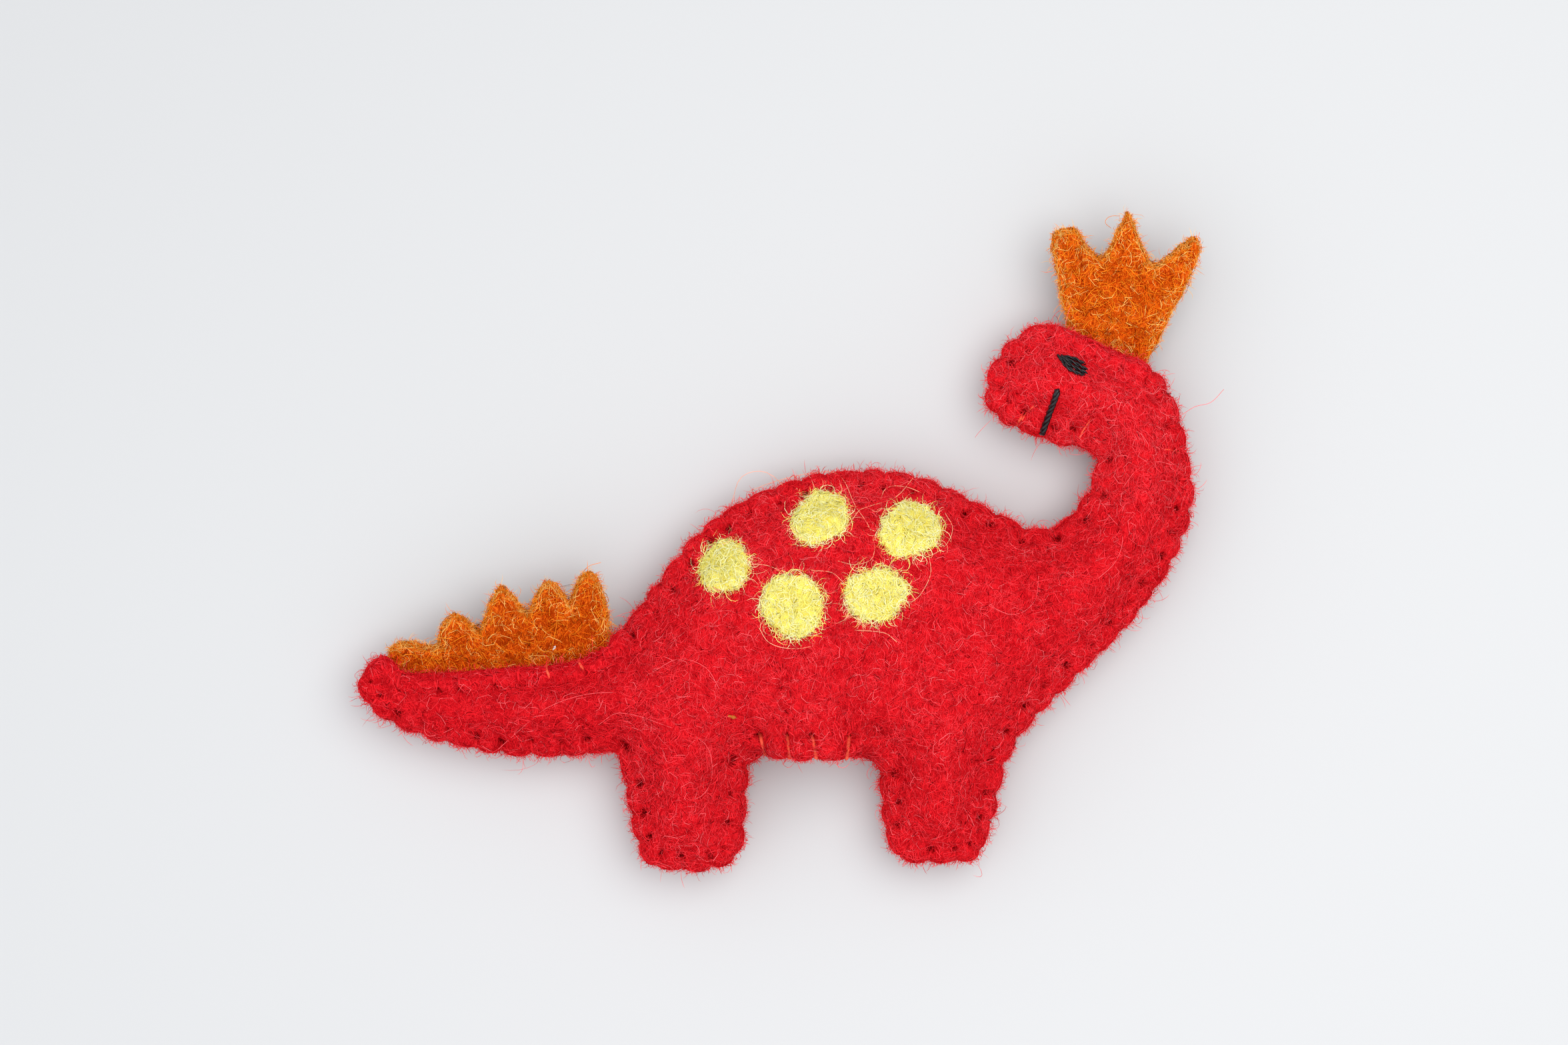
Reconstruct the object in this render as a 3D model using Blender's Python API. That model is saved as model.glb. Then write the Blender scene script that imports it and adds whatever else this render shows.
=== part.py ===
"""Felt dinosaur finger puppet, lying on its back panel.

Two domed felt panels are overcast together along one scalloped edge. Their belly edges
stay open between the legs for a finger. A felt crown and a strip of tail spikes are
caught in the seam, and stuffing fills the neck, the tail and the legs.

Metres, +Z up. X runs from the tail to the neck, Y from the feet to the crown, and Z
through the felt, with the seam at height zero until the puppet is set on its base.
"""

import math

import bmesh
import bpy
import numpy as np
from mathutils import Vector
from mathutils.bvhtree import BVHTree
from mathutils.geometry import delaunay_2d_cdt, interpolate_bezier

# Felt and thread
BODY_FELT = 0.0024
TRIM_FELT = 0.0026
SPOT_HEIGHT = 0.0010
THREAD_DIAMETER = 0.0005
EYE_THREAD_DIAMETER = 0.0009
MOUTH_THREAD_DIAMETER = 0.00075
CLEARANCE = 0.0003
THREAD_ROOM = 0.00012

# Seam: the overcast stitches that draw the edge into scallops
STITCH_PITCH = 0.0041
STITCH_DEPTH = 0.0022
SCALLOP = 0.0006
HEM_STITCHES = 4
EDGE_SHARE = 0.75
STITCH_SHARE = 0.55

# Doming: how far each panel stands off the seam, and how far in from it that takes
FRONT_DOME = 0.0064
FRONT_REACH = 0.0082
BACK_DOME = 0.0032
BACK_REACH = 0.0050

# Finger pocket
POCKET_X = 0.0625
POCKET_HALF_WIDTH = 0.0086
POCKET_END_Y = 0.0400
POCKET_FADE = 0.0100
POCKET_FRONT = 0.0085

# Trim that is caught in the seam
TUCK = 0.0012
TUCK_SPREAD = 0.0030
SPIKES_LEAN = 0.35
CROWN_LEAN = 0.25
LEAN_START = 0.0010

# The steepest slope at which a panel keeps its felt's full thickness
STEEPEST = 1.0

# Spacing of the points inside a panel
PANEL_GRID = 0.0040
TRIM_GRID = 0.0045

# Outline of a body panel, counter-clockwise from the front end of the belly opening
FORE_LEG = [
    (0.0706, 0.0152),
    (0.0718, 0.0118),
    (0.0721, 0.0080),
    (0.0727, 0.0045),
    (0.0742, 0.0018),
    (0.0780, 0.0011),
    (0.0822, 0.0012),
    (0.0850, 0.0020),
    (0.0864, 0.0052),
    (0.0874, 0.0090),
    (0.0884, 0.0136),
]
CHEST_AND_NECK = [
    (0.0905, 0.0182),
    (0.0968, 0.0250),
    (0.1040, 0.0320),
    (0.1092, 0.0384),
    (0.1128, 0.0450),
    (0.1144, 0.0512),
    (0.1138, 0.0570),
    (0.1124, 0.0628),
    (0.1104, 0.0670),
]
HEAD = [
    (0.1080, 0.0694),
    (0.1030, 0.0716),
    (0.0980, 0.0739),
    (0.0944, 0.0749),
    (0.0905, 0.0731),
    (0.0878, 0.0702),
    (0.0865, 0.0670),
    (0.0867, 0.0638),
    (0.0892, 0.0614),
    (0.0930, 0.0598),
    (0.0968, 0.0584),
    (0.0996, 0.0582),
]
THROAT_AND_BACK = [
    (0.1012, 0.0570),
    (0.1013, 0.0545),
    (0.1001, 0.0514),
    (0.0972, 0.0480),
    (0.0932, 0.0465),
    (0.0886, 0.0484),
    (0.0830, 0.0512),
    (0.0770, 0.0538),
    (0.0710, 0.0547),
    (0.0640, 0.0543),
    (0.0570, 0.0524),
    (0.0505, 0.0492),
    (0.0450, 0.0443),
    (0.0400, 0.0378),
    (0.0364, 0.0334),
]
TAIL = [
    (0.0343, 0.0310),
    (0.0318, 0.0295),
    (0.0280, 0.0283),
    (0.0200, 0.0277),
    (0.0120, 0.0271),
    (0.0062, 0.0272),
    (0.0046, 0.0288),
    (0.0030, 0.0293),
    (0.0010, 0.0275),
    (0.0000, 0.0257),
    (0.0012, 0.0228),
    (0.0040, 0.0206),
    (0.0100, 0.0181),
    (0.0190, 0.0162),
    (0.0270, 0.0157),
    (0.0320, 0.0160),
]
HIND_LEG = [
    (0.0352, 0.0160),
    (0.0365, 0.0126),
    (0.0374, 0.0080),
    (0.0384, 0.0036),
    (0.0400, 0.0008),
    (0.0440, 0.0000),
    (0.0490, 0.0003),
    (0.0518, 0.0020),
    (0.0528, 0.0060),
    (0.0531, 0.0110),
    (0.0534, 0.0142),
    (0.0546, 0.0155),
]
BELLY_EDGE = [(0.0590, 0.0156), (0.0660, 0.0155)]
SEWN_EDGE = FORE_LEG + CHEST_AND_NECK + HEAD + THROAT_AND_BACK + TAIL + HIND_LEG

# The ends of the seam lines that the trim is caught in, and what shows of it beyond them
CROWN_SEAM = [(0.1080, 0.0694), (0.0980, 0.0739)]
CROWN_EDGE = [
    (0.0972, 0.0772),
    (0.0962, 0.0820),
    (0.0955, 0.0868),
    (0.0964, 0.0879),
    (0.0980, 0.0878),
    (0.0996, 0.0857),
    (0.1022, 0.0841),
    (0.1038, 0.0866),
    (0.1057, 0.0903),
    (0.1068, 0.0866),
    (0.1086, 0.0834),
    (0.1116, 0.0846),
    (0.1145, 0.0870),
    (0.1150, 0.0852),
    (0.1132, 0.0812),
    (0.1106, 0.0752),
]
SPIKES_SEAM = [(0.0338, 0.0308), (0.0062, 0.0272)]
SPIKES_EDGE = [
    (0.0046, 0.0284),
    (0.0050, 0.0312),
    (0.0068, 0.0320),
    (0.0106, 0.0306),
    (0.0116, 0.0338),
    (0.0130, 0.0352),
    (0.0166, 0.0330),
    (0.0184, 0.0370),
    (0.0198, 0.0390),
    (0.0232, 0.0352),
    (0.0250, 0.0386),
    (0.0268, 0.0391),
    (0.0288, 0.0366),
    (0.0306, 0.0401),
    (0.0320, 0.0405),
    (0.0334, 0.0370),
    (0.0342, 0.0322),
]

# Needle-felted spots: the centre's x and y, and the diameter
SPOTS = [
    (0.0506, 0.0411, 0.0070),
    (0.0633, 0.0481, 0.0080),
    (0.0759, 0.0469, 0.0086),
    (0.0595, 0.0365, 0.0090),
    (0.0709, 0.0376, 0.0086),
]
SPOT_SIDES = 12

# Face
EYE_CENTRE = (0.0983, 0.0694)
EYE_LENGTH = 0.0044
EYE_SLOPE = math.radians(-20)
EYE_FAN = math.radians(7)
MOUTH = [(0.0963, 0.0659), (0.0959, 0.0646), (0.0955, 0.0633), (0.0951, 0.0621)]

# Stuffing: rolls of wool, each a centre line with its radius
NECK_ROLL = [
    (0.0916, 0.0668, 0.0012),
    (0.0965, 0.0662, 0.0021),
    (0.1018, 0.0652, 0.0021),
    (0.1060, 0.0620, 0.0019),
    (0.1076, 0.0560, 0.0018),
    (0.1074, 0.0500, 0.0021),
    (0.1050, 0.0448, 0.0025),
    (0.1010, 0.0395, 0.0027),
    (0.0960, 0.0345, 0.0027),
]
TAIL_ROLL = [
    (0.0130, 0.0224, 0.0006),
    (0.0170, 0.0222, 0.0013),
    (0.0230, 0.0220, 0.0018),
    (0.0310, 0.0224, 0.0022),
    (0.0370, 0.0236, 0.0024),
]
HIND_LEG_ROLL = [(0.0452, 0.0050, 0.0012), (0.0452, 0.0100, 0.0024), (0.0450, 0.0170, 0.0030)]
FORE_LEG_ROLL = [(0.0798, 0.0056, 0.0012), (0.0801, 0.0100, 0.0024), (0.0808, 0.0170, 0.0030)]

RED = (0.67, 0.012, 0.022)
THREAD_RED = (0.55, 0.010, 0.018)
ORANGE = (0.76, 0.16, 0.018)
YELLOW = (0.94, 0.77, 0.22)
BLACK = (0.012, 0.013, 0.016)
WOOL = (0.78, 0.74, 0.66)


def material(name, colour, roughness):
    """A matt finish in one colour."""
    finish = bpy.data.materials.new(name)
    finish.use_nodes = True
    shader = finish.node_tree.nodes["Principled BSDF"]
    shader.inputs["Base Color"].default_value = (*colour, 1.0)
    shader.inputs["Roughness"].default_value = roughness
    shader.inputs["Metallic"].default_value = 0.0
    return finish


def smooth_line(points, closed):
    """A dense polyline on a smooth curve through the points."""
    points = [Vector(p) for p in points]
    count = len(points)
    last = count if closed else count - 1
    line = []
    for i in range(last):
        a, b = points[i], points[(i + 1) % count]
        before = points[i - 1] if closed or i else a
        after = points[(i + 2) % count] if closed or i + 2 < count else b
        reach = (b - a).length / 3
        out_of_a = a + (b - before).normalized() * reach
        into_b = b - (after - a).normalized() * reach
        line += interpolate_bezier(a, out_of_a, into_b, b, 9)[:-1]
    line.append(points[0] if closed else points[-1])
    return np.array([tuple(p) for p in line])


def lengths_along(line):
    """The distance of each point of a polyline from its start."""
    return np.concatenate([[0.0], np.cumsum(np.linalg.norm(np.diff(line, axis=0), axis=1))])


def distance_to(line, xy):
    """The distance of each point of xy from a polyline."""
    start, run = line[:-1], np.diff(line, axis=0)
    toward = xy[:, None, :] - start
    share = np.clip((toward * run).sum(2) / (run * run).sum(1), 0.0, 1.0)
    return np.linalg.norm(toward - share[..., None] * run, axis=2).min(1)


def inside(loop, xy):
    """Which points of xy lie inside a closed loop."""
    a, b = loop, np.roll(loop, -1, axis=0)
    x, y = xy[:, 0:1], xy[:, 1:2]
    spans = (a[:, 1] > y) != (b[:, 1] > y)
    rise = np.where(a[:, 1] == b[:, 1], 1.0, b[:, 1] - a[:, 1])
    crossing = a[:, 0] + (y - a[:, 1]) * (b[:, 0] - a[:, 0]) / rise
    return (spans & (x < crossing)).sum(1) % 2 == 1


def fade(distance, full, width):
    """One up to the distance full, falling smoothly to zero over width beyond it."""
    t = np.clip(1.0 - (distance - full) / width, 0.0, 1.0)
    return t * t * (3.0 - 2.0 * t)


EDGE = smooth_line(SEWN_EDGE + BELLY_EDGE, closed=True)
EDGE_AT = lengths_along(EDGE)
SEWN_POINTS = 8 * (len(SEWN_EDGE) - 1) + 1
SEAM = EDGE[:SEWN_POINTS]
SEAM_LENGTH = EDGE_AT[SEWN_POINTS - 1]
EDGE_LENGTH = EDGE_AT[-1]


def at_edge(s, depth=0.0, aside=0.0):
    """A point at length s along the panel's edge, depth in from it and aside along it."""
    step = STITCH_PITCH / 20
    here, ahead, behind = (
        np.array([np.interp((s + d) % EDGE_LENGTH, EDGE_AT, EDGE[:, k]) for k in (0, 1)])
        for d in (0.0, step, -step)
    )
    along = (ahead - behind) / np.linalg.norm(ahead - behind)
    outward = np.array([along[1], -along[0]])
    return here + along * aside - outward * depth


def stitch_places():
    """The lengths along the edge of the seam's stitches, and of the hem's."""
    seam_count = round(SEAM_LENGTH / STITCH_PITCH)
    seam = [(i + 0.5) * SEAM_LENGTH / seam_count for i in range(seam_count)]
    hem_pitch = (EDGE_LENGTH - SEAM_LENGTH) / HEM_STITCHES
    hem = [SEAM_LENGTH + (i + 0.5) * hem_pitch for i in range(HEM_STITCHES)]
    return seam, hem


SEAM_STITCHES, HEM_STITCH_PLACES = stitch_places()


def caught_span(ends):
    """The lengths along the seam between which a trim is caught, each midway between stitches."""
    pitch = SEAM_STITCHES[1] - SEAM_STITCHES[0]
    nearest = [EDGE_AT[np.linalg.norm(EDGE - end, axis=1).argmin()] for end in ends]
    return [pitch * round(s / pitch) for s in nearest]


CROWN_SPAN = caught_span(CROWN_SEAM)
SPIKES_SPAN = caught_span(SPIKES_SEAM)


def along_span(span, depth):
    """Points along a caught span, at a depth in from the edge."""
    steps = 2 * round((span[1] - span[0]) / STITCH_PITCH)
    return np.array([at_edge(s, depth) for s in np.linspace(*span, steps + 1)])


TRIM_SEAMS = [along_span(CROWN_SPAN, 0.0), along_span(SPIKES_SPAN, 0.0)]


def scalloped_loop():
    """The panel's outline, with a slot for each stitch, and the felt's share of its thickness."""
    slot_half = THREAD_DIAMETER / 2 + THREAD_ROOM
    mouth_half = 1.4 * slot_half
    places = SEAM_STITCHES + HEM_STITCH_PLACES
    loop, shares = [], []
    for i, s in enumerate(places):
        before = places[i - 1] - (EDGE_LENGTH if i == 0 else 0.0)
        loop += [
            at_edge((before + s) / 2),
            at_edge(s, SCALLOP, -mouth_half),
            at_edge(s, STITCH_DEPTH, -slot_half),
            at_edge(s, STITCH_DEPTH, slot_half),
            at_edge(s, SCALLOP, mouth_half),
        ]
        shares += [EDGE_SHARE] + [STITCH_SHARE] * 4
    return np.array(loop), np.array(shares)


PANEL_LOOP, PANEL_SHARES = scalloped_loop()


def spread(xy):
    """How far the trim in the seam holds a panel off the seam's middle."""
    near = np.min([distance_to(line, xy) for line in TRIM_SEAMS], axis=0)
    return (TRIM_FELT + CLEARANCE) / 2 * fade(near, TUCK_SPREAD, TUCK_SPREAD)


def relief(xy):
    """How far the back panel draws in behind its spots, eye and mouth."""
    eye_and_mouth = distance_to(np.array([EYE_CENTRE, *MOUTH]), xy) - MOUTH_THREAD_DIAMETER
    gaps = [np.hypot(xy[:, 0] - x, xy[:, 1] - y) - size / 2 for x, y, size in SPOTS]
    near = np.min([eye_and_mouth, *gaps], axis=0)
    return (SPOT_HEIGHT + CLEARANCE) * fade(near, PANEL_GRID / 3, PANEL_GRID)


def dome(xy, reach):
    """The doming's share of its full height: none at the seam, all of it deep inside."""
    t = np.clip((distance_to(SEAM, xy) - STITCH_DEPTH) / reach, 0.0, 1.0)
    return t * (2.0 - t)


def pocket(xy):
    """The finger pocket's share of its full height."""
    across = np.clip(np.abs(xy[:, 0] - POCKET_X) / POCKET_HALF_WIDTH, 0.0, 1.0)
    return (1.0 - across**2) ** 0.75 * fade(xy[:, 1], POCKET_END_Y, POCKET_FADE)


def front_lining(xy):
    """Height of the front panel's inner face above the seam."""
    puffed = np.maximum(FRONT_DOME * dome(xy, FRONT_REACH), POCKET_FRONT * pocket(xy))
    return CLEARANCE / 2 + np.maximum(puffed, spread(xy))


def back_lining(xy):
    """Depth of the back panel's inner face below the seam. It is flat where the puppet rests."""
    puffed = BACK_DOME * np.maximum(dome(xy, BACK_REACH), pocket(xy))
    puffed = np.minimum(puffed, BACK_DOME - relief(xy))
    return CLEARANCE / 2 + np.maximum(puffed, spread(xy))


def slant(height, xy):
    """How much longer a sloping face is than its plan."""
    step = PANEL_GRID / 4
    slopes = [(height(xy + d) - height(xy - d)) / (2 * step) for d in ((step, 0), (0, step))]
    steepness = np.minimum(slopes[0] ** 2 + slopes[1] ** 2, STEEPEST**2)
    return np.sqrt(1.0 + steepness)


def grid_inside(loop, spacing, margin):
    """Staggered rows of points inside a loop, at least margin from it."""
    low, high = loop.min(0), loop.max(0)
    row_step = spacing * math.sqrt(3) / 2
    rows = np.arange(low[1], high[1], row_step)
    points = [
        (x + (spacing / 2 if i % 2 else 0.0), y)
        for i, y in enumerate(rows)
        for x in np.arange(low[0], high[0], spacing)
    ]
    points = np.array(points)
    ring = np.vstack([loop, loop[:1]])
    return points[inside(loop, points) & (distance_to(ring, points) > margin)]


def filled(loop, inner, holes=()):
    """Triangles that fill a loop through its inner points, leaving the holes open."""
    points, edges = [], []
    for ring in (loop, *holes):
        first, count = len(points), len(ring)
        points += [Vector(p) for p in ring]
        edges += [(first + i, first + (i + 1) % count) for i in range(count)]
    points += [Vector(p) for p in inner]
    verts, _, faces, *_ = delaunay_2d_cdt(points, edges, [], 1, 1e-7)
    verts = np.array([tuple(v) for v in verts])
    centres = np.array([verts[list(f)].mean(0) for f in faces])
    kept = inside(loop, centres)
    for ring in holes:
        kept &= ~inside(ring, centres)
    return verts, [f for f, keep in zip(faces, kept) if keep]


def add_object(name, mesh, finish):
    """Puts a mesh in the puppet's collection."""
    mesh.materials.append(finish)
    mesh.shade_smooth()
    mesh.set_sharp_from_angle(angle=math.radians(50))
    made = bpy.data.objects.new(name, mesh)
    PUPPET.objects.link(made)
    return made


def sheet(name, plan, low, high, finish):
    """A sheet of felt: the plan's triangles at height low, extruded up to height high."""
    verts, faces = plan
    mesh = bpy.data.meshes.new(name)
    mesh.from_pydata([(*p, z) for p, z in zip(verts, low)], [], [tuple(f) for f in faces])
    form = bmesh.new()
    form.from_mesh(mesh)
    form.verts.ensure_lookup_table()
    top = dict(zip([(round(v.co.x, 7), round(v.co.y, 7)) for v in form.verts], high))
    extruded = bmesh.ops.extrude_face_region(form, geom=form.faces[:])["geom"]
    for vert in (g for g in extruded if isinstance(g, bmesh.types.BMVert)):
        vert.co.z = top[(round(vert.co.x, 7), round(vert.co.y, 7))]
    bmesh.ops.recalc_face_normals(form, faces=form.faces[:])
    form.to_mesh(mesh)
    form.free()
    return add_object(name, mesh, finish)


def disc(centre, size):
    """The points of a round spot: its rim, then its inner ring and its centre."""
    turns = [2 * math.pi * i / SPOT_SIDES for i in range(SPOT_SIDES)]
    ring = np.array([(math.cos(a), math.sin(a)) for a in turns]) * size / 2
    centre = np.array(centre)
    return centre + ring, np.vstack([centre + ring[::2] / 2, [centre]])


def panel_plan():
    """The panels' common plan, and the felt's share of its thickness at each point."""
    inner = grid_inside(PANEL_LOOP, PANEL_GRID, PANEL_GRID / 3)
    inner = inner[distance_to(EDGE, inner) > STITCH_DEPTH + PANEL_GRID / 4]
    for x, y, size in SPOTS:
        rim, within = disc((x, y), size + 2 * CLEARANCE)
        clear = np.hypot(inner[:, 0] - x, inner[:, 1] - y) > (size + PANEL_GRID) / 2
        inner = np.vstack([inner[clear], rim, within])
    verts, faces = filled(PANEL_LOOP, inner)
    nearest = np.linalg.norm(verts[:, None] - PANEL_LOOP, axis=2)
    on_edge = nearest.min(1) < THREAD_ROOM / 10
    shares = np.where(on_edge, PANEL_SHARES[nearest.argmin(1)], 1.0)
    return (verts, faces), shares


def body_panels(finish):
    """The front panel above the seam and the back panel below it."""
    plan, shares = panel_plan()
    verts = plan[0]
    floor = CLEARANCE / 2 + BACK_DOME + BODY_FELT - relief(verts)
    inner, lower = front_lining(verts), back_lining(verts)
    outer = inner + BODY_FELT * shares * slant(front_lining, verts)
    deeper = np.minimum(lower + BODY_FELT * shares * slant(back_lining, verts), floor)
    front = sheet("front_panel", plan, inner, outer, finish)
    back = sheet("back_panel", plan, -deeper, -lower, finish)
    return front, back


def stitch_hole(s):
    """A square hole through the trim, where the thread of a stitch crosses the edge."""
    half = THREAD_DIAMETER / 2 + 2 * THREAD_ROOM
    middle = SCALLOP + THREAD_DIAMETER / 2
    corners = ((-1, -1), (-1, 1), (1, 1), (1, -1))
    return np.array([at_edge(s, middle + half * d, half * a) for d, a in corners])


def trim(name, span, shown, lean, finish):
    """A flat felt shape whose foot is tucked into the seam and that leans forward beyond it."""
    loop = np.vstack([along_span(span, TUCK), shown])
    holes = [stitch_hole(s) for s in SEAM_STITCHES if span[0] < s < span[1]]
    inner = grid_inside(loop, TRIM_GRID, TRIM_GRID / 4)
    for ring in holes:
        inner = inner[np.linalg.norm(inner - ring.mean(0), axis=1) > TRIM_GRID / 3]
    plan = filled(loop, inner, holes)
    beyond = np.where(inside(EDGE[:-1], plan[0]), 0.0, distance_to(EDGE, plan[0]))
    middle = lean * np.maximum(beyond - LEAN_START, 0.0)
    return sheet(name, plan, middle - TRIM_FELT / 2, middle + TRIM_FELT / 2, finish)


def tube(name, points, radius, finish, sides=0, radii=None):
    """A round thread or roll through the points, with closed ends."""
    curve = bpy.data.curves.new(name, "CURVE")
    curve.dimensions = "3D"
    curve.bevel_depth = radius
    curve.bevel_resolution = sides
    curve.use_fill_caps = True
    spline = curve.splines.new("POLY")
    spline.points.add(len(points) - 1)
    for i, (point, target) in enumerate(zip(points, spline.points)):
        target.co = (*point, 1.0)
        target.radius = radii[i] / radius if radii else 1.0
    curve.materials.append(finish)
    made = bpy.data.objects.new(name, curve)
    PUPPET.objects.link(made)
    return made


def skin_of(panel, outer=True):
    """A function that gives the height of a panel's outer or inner face around a place."""
    tree = BVHTree.FromObject(panel, bpy.context.evaluated_depsgraph_get())

    def height(xy, side, around=0.0):
        """The face's height on side +1 or -1: where it stands closest to what is laid on it."""
        toward = -side if outer else side
        origin = side if outer else 0.0
        places = [(0, 0), (1, 0), (0, 1), (-1, 0), (0, -1), (1, 1), (-1, 1), (-1, -1), (1, -1)]
        found = []
        for dx, dy in places:
            start = Vector((xy[0] + dx * around, xy[1] + dy * around, origin))
            hit = tree.ray_cast(start, Vector((0, 0, toward)))[0]
            if hit:
                found.append(-hit.z * toward)
        return -toward * max(found)

    return height


def overcast(name, places, top, bottom, finish):
    """One thread that goes through the felt at each stitch and over its edge to the next."""
    radius = THREAD_DIAMETER / 2
    hole_depth = STITCH_DEPTH - radius - THREAD_ROOM
    edge_depth = SCALLOP + radius
    path = []
    for i, s in enumerate(places):
        hole = at_edge(s, hole_depth)
        rim = at_edge(s, edge_depth)
        path += [
            (*hole, bottom(hole)),
            (*hole, top(hole)),
            (*rim, top(rim)),
            (*rim, bottom(rim)),
        ]
        if i + 1 < len(places):
            lobe = at_edge((s + places[i + 1]) / 2, (hole_depth + edge_depth) / 2)
            path.append((*lobe, bottom(lobe)))
    return tube(name, path, radius, finish)


def threads(front, back, finish):
    """The seam's thread through both panels, and a hem thread in each belly edge."""
    near = STITCH_DEPTH / 3
    lift = THREAD_DIAMETER / 2 + THREAD_ROOM
    back_skin = skin_of(back)
    front_inside, back_inside = skin_of(front, outer=False), skin_of(back, outer=False)

    def front_slot(p):
        return float(front_lining(p[None])[0]) + BODY_FELT * STITCH_SHARE

    def front_inner(p):
        return front_inside(p, 1, near) - lift

    def back_outer(p):
        return back_skin(p, -1, near) - lift

    def back_inner(p):
        return back_inside(p, -1, near) + lift

    overcast("seam_thread", SEAM_STITCHES, front_slot, back_outer, finish)
    overcast("front_hem_thread", HEM_STITCH_PLACES, front_slot, front_inner, finish)
    overcast("back_hem_thread", HEM_STITCH_PLACES, back_inner, back_outer, finish)


def spot(name, centre, size, skin, side, finish):
    """A pad of yellow wool that follows the panel under it and swells in the middle."""
    plan = filled(*disc(centre, size))
    radius = np.linalg.norm(plan[0] - centre, axis=1) / (size / 2)
    swell = SPOT_HEIGHT * (1.0 - 0.65 * radius**2)
    seat = np.array([skin(p, side) for p in plan[0]]) + side * CLEARANCE
    crest = seat + side * swell
    return sheet(name, plan, np.minimum(seat, crest), np.maximum(seat, crest), finish)


def strand(middle, slope, length, diameter):
    """One satin stitch of the eye: a spindle lying on the felt."""
    form = bmesh.new()
    bmesh.ops.create_uvsphere(form, u_segments=8, v_segments=6, radius=0.5)
    for vert in form.verts:
        vert.co = Vector((vert.co.z * length, vert.co.x * diameter, vert.co.y * diameter))
    mesh = bpy.data.meshes.new("strand")
    form.to_mesh(mesh)
    form.free()
    made = bpy.data.objects.new("strand", mesh)
    made.location = middle
    made.rotation_euler = (0.0, 0.0, slope)
    return made


def eye(name, skin, side, finish):
    """Three satin stitches side by side, joined into one oval."""
    across = Vector((-math.sin(EYE_SLOPE), math.cos(EYE_SLOPE)))
    lift = CLEARANCE + EYE_THREAD_DIAMETER / 2
    high = skin(EYE_CENTRE, side, EYE_LENGTH / 3) + side * lift
    strands = []
    for i in (-1, 0, 1):
        middle = Vector(EYE_CENTRE) + across * (i * EYE_THREAD_DIAMETER * 0.62)
        length = EYE_LENGTH * (1.0 if i == 0 else 0.86)
        slope = EYE_SLOPE + i * EYE_FAN
        strands.append(strand((*middle, high), slope, length, EYE_THREAD_DIAMETER))
    whole = strands[1]
    whole.name = name
    whole.data.name = name
    PUPPET.objects.link(whole)
    for other in (strands[0], strands[2]):
        CUTTERS.objects.link(other)
        other.hide_render = True
        other.display_type = "WIRE"
        joined = whole.modifiers.new("join", "BOOLEAN")
        joined.operation = "UNION"
        joined.solver = "EXACT"
        joined.object = other
    whole.data.materials.append(finish)
    return whole


def mouth(name, skin, side, finish):
    """One straight black stitch down to the chin's edge."""
    radius = MOUTH_THREAD_DIAMETER / 2
    lift = side * (CLEARANCE + radius)
    path = [(*p, skin(p, side, radius) + lift) for p in MOUTH]
    return tube(name, path, radius, finish, sides=1)


def stuffing(name, roll, lining, finish):
    """A roll of wool that lies in the back panel."""
    radii = [p[2] for p in roll]
    points = [(x, y, lining((x, y), -1, 0.7 * r) + r + CLEARANCE) for x, y, r in roll]
    return tube(name, points, max(radii), finish, sides=1, radii=radii)


def set_on_base():
    """Carries every piece on one empty, with the middle of the puppet's base at the origin."""
    graph = bpy.context.evaluated_depsgraph_get()
    corners = []
    for piece in PUPPET.objects:
        whole = piece.evaluated_get(graph)
        shape = whole.to_mesh()
        corners += [whole.matrix_world @ v.co for v in shape.vertices]
        whole.to_mesh_clear()
    corners = np.array(corners)
    low, high = corners.min(0), corners.max(0)
    base = bpy.data.objects.new("puppet", None)
    PUPPET.objects.link(base)
    base.location = (-(low[0] + high[0]) / 2, -(low[1] + high[1]) / 2, -low[2])
    for piece in [*PUPPET.objects, *CUTTERS.objects]:
        if piece is not base:
            piece.parent = base


def new_collection(name):
    """An empty collection in the scene."""
    made = bpy.data.collections.new(name)
    bpy.context.scene.collection.children.link(made)
    return made


def build():
    red = material("red_felt", RED, 0.95)
    orange = material("orange_felt", ORANGE, 0.95)
    yellow = material("yellow_wool", YELLOW, 0.95)
    black = material("black_thread", BLACK, 0.6)
    thread = material("red_thread", THREAD_RED, 0.7)
    wool = material("stuffing_wool", WOOL, 0.95)

    front, back = body_panels(red)
    trim("crown", CROWN_SPAN, CROWN_EDGE, CROWN_LEAN, orange)
    trim("tail_spikes", SPIKES_SPAN, SPIKES_EDGE, SPIKES_LEAN, orange)
    threads(front, back, thread)
    for label, panel, side in (("front", front, 1), ("back", back, -1)):
        skin = skin_of(panel)
        for i, (x, y, size) in enumerate(SPOTS, 1):
            spot(f"{label}_spot_{i}", (x, y), size, skin, side, yellow)
        eye(f"{label}_eye", skin, side, black)
        mouth(f"{label}_mouth", skin, side, black)
    lining = skin_of(back, outer=False)
    stuffing("neck_stuffing", NECK_ROLL, lining, wool)
    stuffing("tail_stuffing", TAIL_ROLL, lining, wool)
    stuffing("hind_leg_stuffing", HIND_LEG_ROLL, lining, wool)
    stuffing("fore_leg_stuffing", FORE_LEG_ROLL, lining, wool)
    set_on_base()


for leftover in list(bpy.data.objects):
    bpy.data.objects.remove(leftover)
PUPPET = new_collection("finger_puppet")
CUTTERS = new_collection("cutters")
build()
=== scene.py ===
"""The looks of a felt dinosaur finger puppet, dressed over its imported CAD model.

Lengths are in millimetres in the drawing's frame, where x runs from the tail to the neck,
y from the feet to the crown, and z is zero at the seam. They become metres in the row
frame where a mesh is made.
"""

import math

import bmesh
import bpy
import numpy as np
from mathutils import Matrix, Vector, noise
from mathutils.bvhtree import BVHTree
from mathutils.geometry import delaunay_2d_cdt, interpolate_bezier
from mathutils.kdtree import KDTree


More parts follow.
